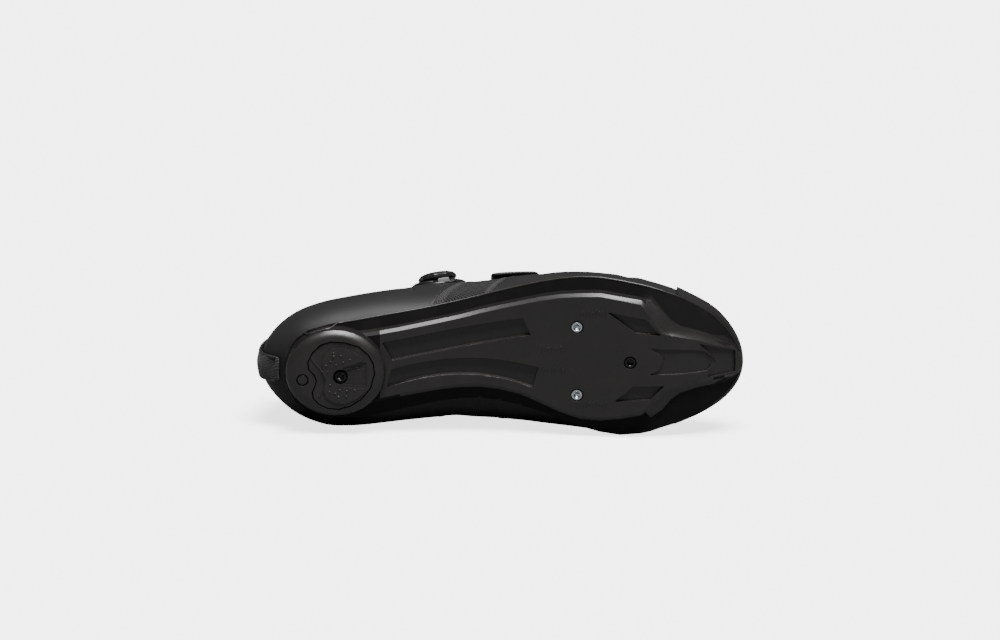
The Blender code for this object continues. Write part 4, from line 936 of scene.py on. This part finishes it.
# %% Cap, tongue, strap and insole
settle(smoothed("toe_cap", "toe_overlay", 2), cap_look, "cap_black", "toe_cap")
settle(smoothed("tongue", "tongue_cloth", 2), tongue_look, "cloth_black", "tongue")
settle(smoothed("insole", "insole_cloth", 1), insole_look, "lining_black", "insole")
strap_cloth = settle(smoothed("forefoot_strap", "strap_cloth", 2), strap_look, "cloth_black",
                     "forefoot_strap")
heel_webbing = settle(smoothed("heel_tape", "heel_webbing", 2), tape_look, "webbing_black", "heel_tape")


# %% Edges of the heel tape
def tape_edge(way, count=34):
    """The middle line of one long edge of the tape, from its foot to its top."""
    places = [shoe_measures(vertex.co) for vertex in heel_webbing.data.vertices]
    low = min(place.y for place in places)
    high = max(place.y for place in places)
    line = []
    for up in np.linspace(low + 0.0010, high - 0.0010, count):
        near = [place for place in places if abs(place.y - up) < 0.0018]
        edge = max(way * place.z for place in near)
        ends = [place for place in near if way * place.z > edge - 0.0002]
        middle = sum(ends, Vector()) / len(ends)
        line.append(lie @ Vector((middle.x, up, middle.z - way * 0.0005)))
    return line


PIPING = 0.00072
PIPING_STEP = 0.002
piping_lines = [strung(tape_edge(way), PIPING_STEP) for way in (1.0, -1.0)]
settle(tube("tape_piping", piping_lines, PIPING), thread_look, "webbing_black")

# %% Strap stitching
strap_tree = surface_of(strap_cloth)
STRAP_MIDDLE = 0.1410066
STRAP_SEAM = 0.0118
STRAP_STITCH = (0.0026, 0.0020, 0.00040)
strap_rows = []
for past in (-STRAP_SEAM, STRAP_SEAM):
    found = []
    for angle in np.radians(np.linspace(20.0, 160.0, 70)):
        way = lie.to_3x3() @ Vector((0.0, math.sin(angle), math.cos(angle)))
        start = spot(STRAP_MIDDLE + past, -0.002, 0.035) + 0.12 * way
        point, facing, index, distance = strap_tree.ray_cast(start, -way)
        if point:
            found.append((point, facing))
    if len(found) > 2:
        strap_rows += stitches(found, *STRAP_STITCH)
settle(copies("strap_thread", stitch_shape, strap_rows), thread_look, "cloth_black")

# %% [markdown]
# The wearing pad has round knobs for grip on its two lobes, a ridge shaped like an S between
# them and the button, and brushed lines in the wedge between the lobes. The photograph gives
# their places. The knobs stand 0.3 mm high, so they are real shapes and not bump.

# %% Details of the heel
pad_tree = surface_of(wear_pad)
KNOBS = (
    # across, down, radius in millimetres
    (333.3, 357.0, 0.9), (340.5, 356.3, 0.6), (330.5, 362.0, 0.6), (326.0, 366.3, 0.6),
    (327.8, 371.8, 0.6), (336.2, 365.5, 0.6), (343.2, 362.8, 0.6), (350.0, 360.2, 0.6),
    (333.5, 353.5, 0.6), (330.0, 385.3, 0.6), (329.7, 392.2, 0.6), (339.7, 390.3, 0.6),
    (347.0, 391.3, 0.6), (354.5, 390.5, 0.6), (335.0, 394.0, 0.6), (346.3, 396.8, 0.6),
    (338.5, 397.5, 0.9), (338.8, 400.5, 0.6),
)
KNOB_HEIGHT = 0.00035
knob_places = []
for across, down, radius in KNOBS:
    point, facing = seen_at(pad_tree, across, down)
    if point:
        round_size = 0.001 * radius
        knob_places.append(stand(point, facing, stretch=(round_size, round_size, KNOB_HEIGHT)))
settle(copies("pad_knobs", knob_shape, knob_places), pad_look, "insert_black")

RIDGE = ((311.0, 357.5), (315.0, 364.0), (320.0, 369.0), (324.0, 374.0), (325.5, 380.0), (324.5, 387.0),
         (322.0, 393.0), (318.8, 397.0))
ridge_line = [seen_at(pad_tree, *place)[0] for place in RIDGE]
ridge_line = strung(rounded_line([place for place in ridge_line if place]), 0.0006)
settle(tube("pad_ridge", [ridge_line], 0.00045, 12), pad_look, "insert_black")

brushed = []
for index in range(7):
    start = seen_at(pad_tree, 346.0, 367.5 + 1.9 * index)[0]
    end = seen_at(pad_tree, 365.0, 362.5 + 3.2 * index)[0]
    if start and end:
        brushed.append([start, end])
settle(tube("pad_brushed", brushed, 0.00012, 6), pad_look, "insert_black")

# %% [markdown]
# The pad's screw has a cross recess. Two thin blocks, turned with the screw, cut it. The nuts are
# turned steel rings, and the button is a rubber plug with a soft edge.

# %% Screw, button and nuts
heel_face = lie.to_3x3() @ Vector((0.0, -1.0, 0.0))
heel_screw = crisp("heel_screw", "pad_screw", 0.00025, 35.0)
screw_low, screw_high = [Vector(corner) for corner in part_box("heel_screw")]
screw_middle = 0.5 * (screw_low + screw_high)
screw_middle.y = screw_low.y
block_shape = shape_of(bpy.ops.mesh.primitive_cube_add, size=1.0)
SLOT_SIZE = (0.0042, 0.00085, 0.0022)
for turn in np.radians((20.0, 110.0)):
    running = lie.to_3x3() @ Vector((math.cos(turn), 0.0, math.sin(turn)))
    slot_place = stand(screw_middle, heel_face, running, SLOT_SIZE)
    cutter = copies("slot_cutter", block_shape, [slot_place])
    only(heel_screw)
    finished("BOOLEAN", operation="DIFFERENCE", object=cutter, solver="EXACT")
    bpy.data.objects.remove(cutter)
settle(heel_screw, black_steel_look, "dark_steel", "heel_screw")
settle(crisp("heel_button", "pad_button", 0.0003, 20.0, 3), pad_look, "sole_black", "heel_button")
for node, look, slot in (("cleat_nut_inner", steel_look, "nut_steel"),
                         ("cleat_nut_outer", steel_look, "nut_steel"),
                         ("cleat_nut_front", black_steel_look, "dark_steel")):
    settle(crisp(node, node.replace("cleat_", "sole_"), 0.0002, 20.0, 3), look, slot, node)

# %% [markdown]
# The two bright nuts are closed behind their threads, so light comes back out of them. A thin
# steel disc in each bore, square to the flat that carries the cleat, stands for that floor.

# %% Floors of the bright nuts
sole_face = Vector((-0.15169, -0.98731, -0.0471)).normalized()
disc_shape = shape_of(bpy.ops.mesh.primitive_cylinder_add, vertices=32, radius=1.0, depth=1.0)
NUT_FLOOR = (0.0023, 0.0023, 0.0004)
FLOOR_LIFT = 0.0004


def middle_of(node):
    low, high = [Vector(corner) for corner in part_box(node)]
    return 0.5 * (low + high)


floors = [stand(middle_of(node) + FLOOR_LIFT * sole_face, sole_face, stretch=NUT_FLOOR)
          for node in ("cleat_nut_inner", "cleat_nut_outer")]
settle(copies("nut_floors", disc_shape, floors), steel_look, "nut_steel")

# %% [markdown]
# Fine raised lines beside the nuts help the owner set a cleat straight on both shoes. They are
# only a tenth of a millimetre high, and are long thin grains half sunk in the sole.

# %% Alignment lines
sole_tree = surface_of(sole_shell)
LINE_GROUPS = ((577.0, 612.0, 314.0, 9.0), (577.0, 612.0, 405.0, 9.0), (542.0, 570.0, 350.0, 9.0),
               (542.0, 570.0, 370.0, 9.0))
LINE_STEP = 3.2
LINE_WIDTH, LINE_HEIGHT = 0.00020, 0.00022
line_places = []
for first, last, down, length in LINE_GROUPS:
    for index in range(int((last - first) / LINE_STEP)):
        point, facing = seen_at(sole_tree, first + LINE_STEP * index, down)
        tall = length if index % 3 == 0 else 0.6 * length
        grain = (0.5 * tall * PIXEL, LINE_WIDTH, LINE_HEIGHT)
        line_places.append(stand(point, facing, across_shoe, grain))
settle(copies("alignment_lines", stitch_shape, line_places), sole_look, "sole_black")

# %% [markdown]
# Under the dial lies a wide low skirt, which is sewn on the quarter and has dark windows. It is
# a flattened ball, half sunk in the film, square to the axis of the dial.

# %% Skirt of the dial
dial_back, dial_lean = math.radians(9.0), math.radians(22.0)
dial_face = lie.to_3x3() @ Vector((-math.sin(dial_back), math.cos(dial_back) * math.sin(dial_lean),
                                   math.cos(dial_back) * math.cos(dial_lean)))
dome_shape = shape_of(bpy.ops.mesh.primitive_uv_sphere_add, segments=64, ring_count=24, radius=1.0)
SKIRT_SIZE = (0.0153, 0.0122, 0.0036)
SKIRT_BELOW = 0.0050
skirt_place = stand(middle_of("dial_knob") - SKIRT_BELOW * dial_face, dial_face, stretch=SKIRT_SIZE)
skirt = settle(copies("dial_skirt", dome_shape, [skirt_place]), dial_look, "dial_black")
skirt_tree = surface_of(skirt)
WINDOWS = ((418.5, 281.5, 0.0042), (431.0, 281.0, 0.0052), (453.0, 279.8, 0.0032))
WINDOW_WIDTH, WINDOW_HEIGHT = 0.0019, 0.0003
window_places = []
for across, down, length in WINDOWS:
    point, facing = seen_at(skirt_tree, across, down)
    if point:
        window_places.append(stand(point, facing, stretch=(length, WINDOW_WIDTH, WINDOW_HEIGHT)))
print("windows of the skirt:", len(window_places))
settle(copies("skirt_windows", block_shape, window_places), lace_look, "dial_black")

# %% [markdown]
# The dial has a ribbed cap that turns to wind the lace, on a moulded base. Loops on both sides of
# the throat guide the lace. Their solids have those shapes, so only their edges are softened.

# %% Dial and guides
settle(crisp("dial_knob", "dial_cap", 0.0003, 30.0, 3), dial_look, "dial_black", "dial_knob")
settle(crisp("dial_base", "dial_seat", 0.0003, 30.0, 3), dial_look, "dial_black", "dial_base")
settle(crisp("dial_housing", "dial_block", 0.0004, 30.0, 3), housing_look, "housing_grey",
       "dial_housing")
for node in ("lace_guide_rear", "lace_guide_outer", "lace_guide_front"):
    loop = crisp(node, node.replace("lace_guide", "lace_loop"), 0.0004, 30.0, 3)
    settle(loop, guide_look, "dial_black", node)

# %% [markdown]
# The solid model has the lace only where it crosses the throat. Here one lace runs from the dial
# through every guide. Its line over the throat is read from those three bars, ring by ring.


# %% Lace
RING_GAP = 0.0009
LACE_STEP = 0.0012
LACE_RADIUS = 0.0006


def bar_line(node):
    """The middle line of a lace bar, from its inner to its outer end."""
    places = [shoe_measures(vertex.co) for vertex in nodes[node].data.vertices]
    places.sort(key=lambda place: place.z)
    groups = [[places[0]]]
    for before, place in zip(places, places[1:]):
        if place.z - before.z > RING_GAP:
            groups.append([])
        groups[-1].append(place)
    return [lie @ (sum(group, Vector()) / len(group)) for group in groups]


bars = {name: bar_line("lace_bar_" + name) for name in ("rear", "middle", "front")}
lace_way = [middle_of("dial_base"), *reversed(bars["rear"]), *bars["middle"],
            *reversed(bars["front"]), middle_of("lace_guide_front")]
lace_line = strung(rounded_line(lace_way), LACE_STEP)
print("lace:", round(1000 * LACE_STEP * len(lace_line)), "mm over the throat")
settle(tube("lace", [lace_line], LACE_RADIUS), lace_look, "lace_black",
       "lace_bar_rear", "lace_bar_middle", "lace_bar_front")
bpy.data.objects.remove(outside)
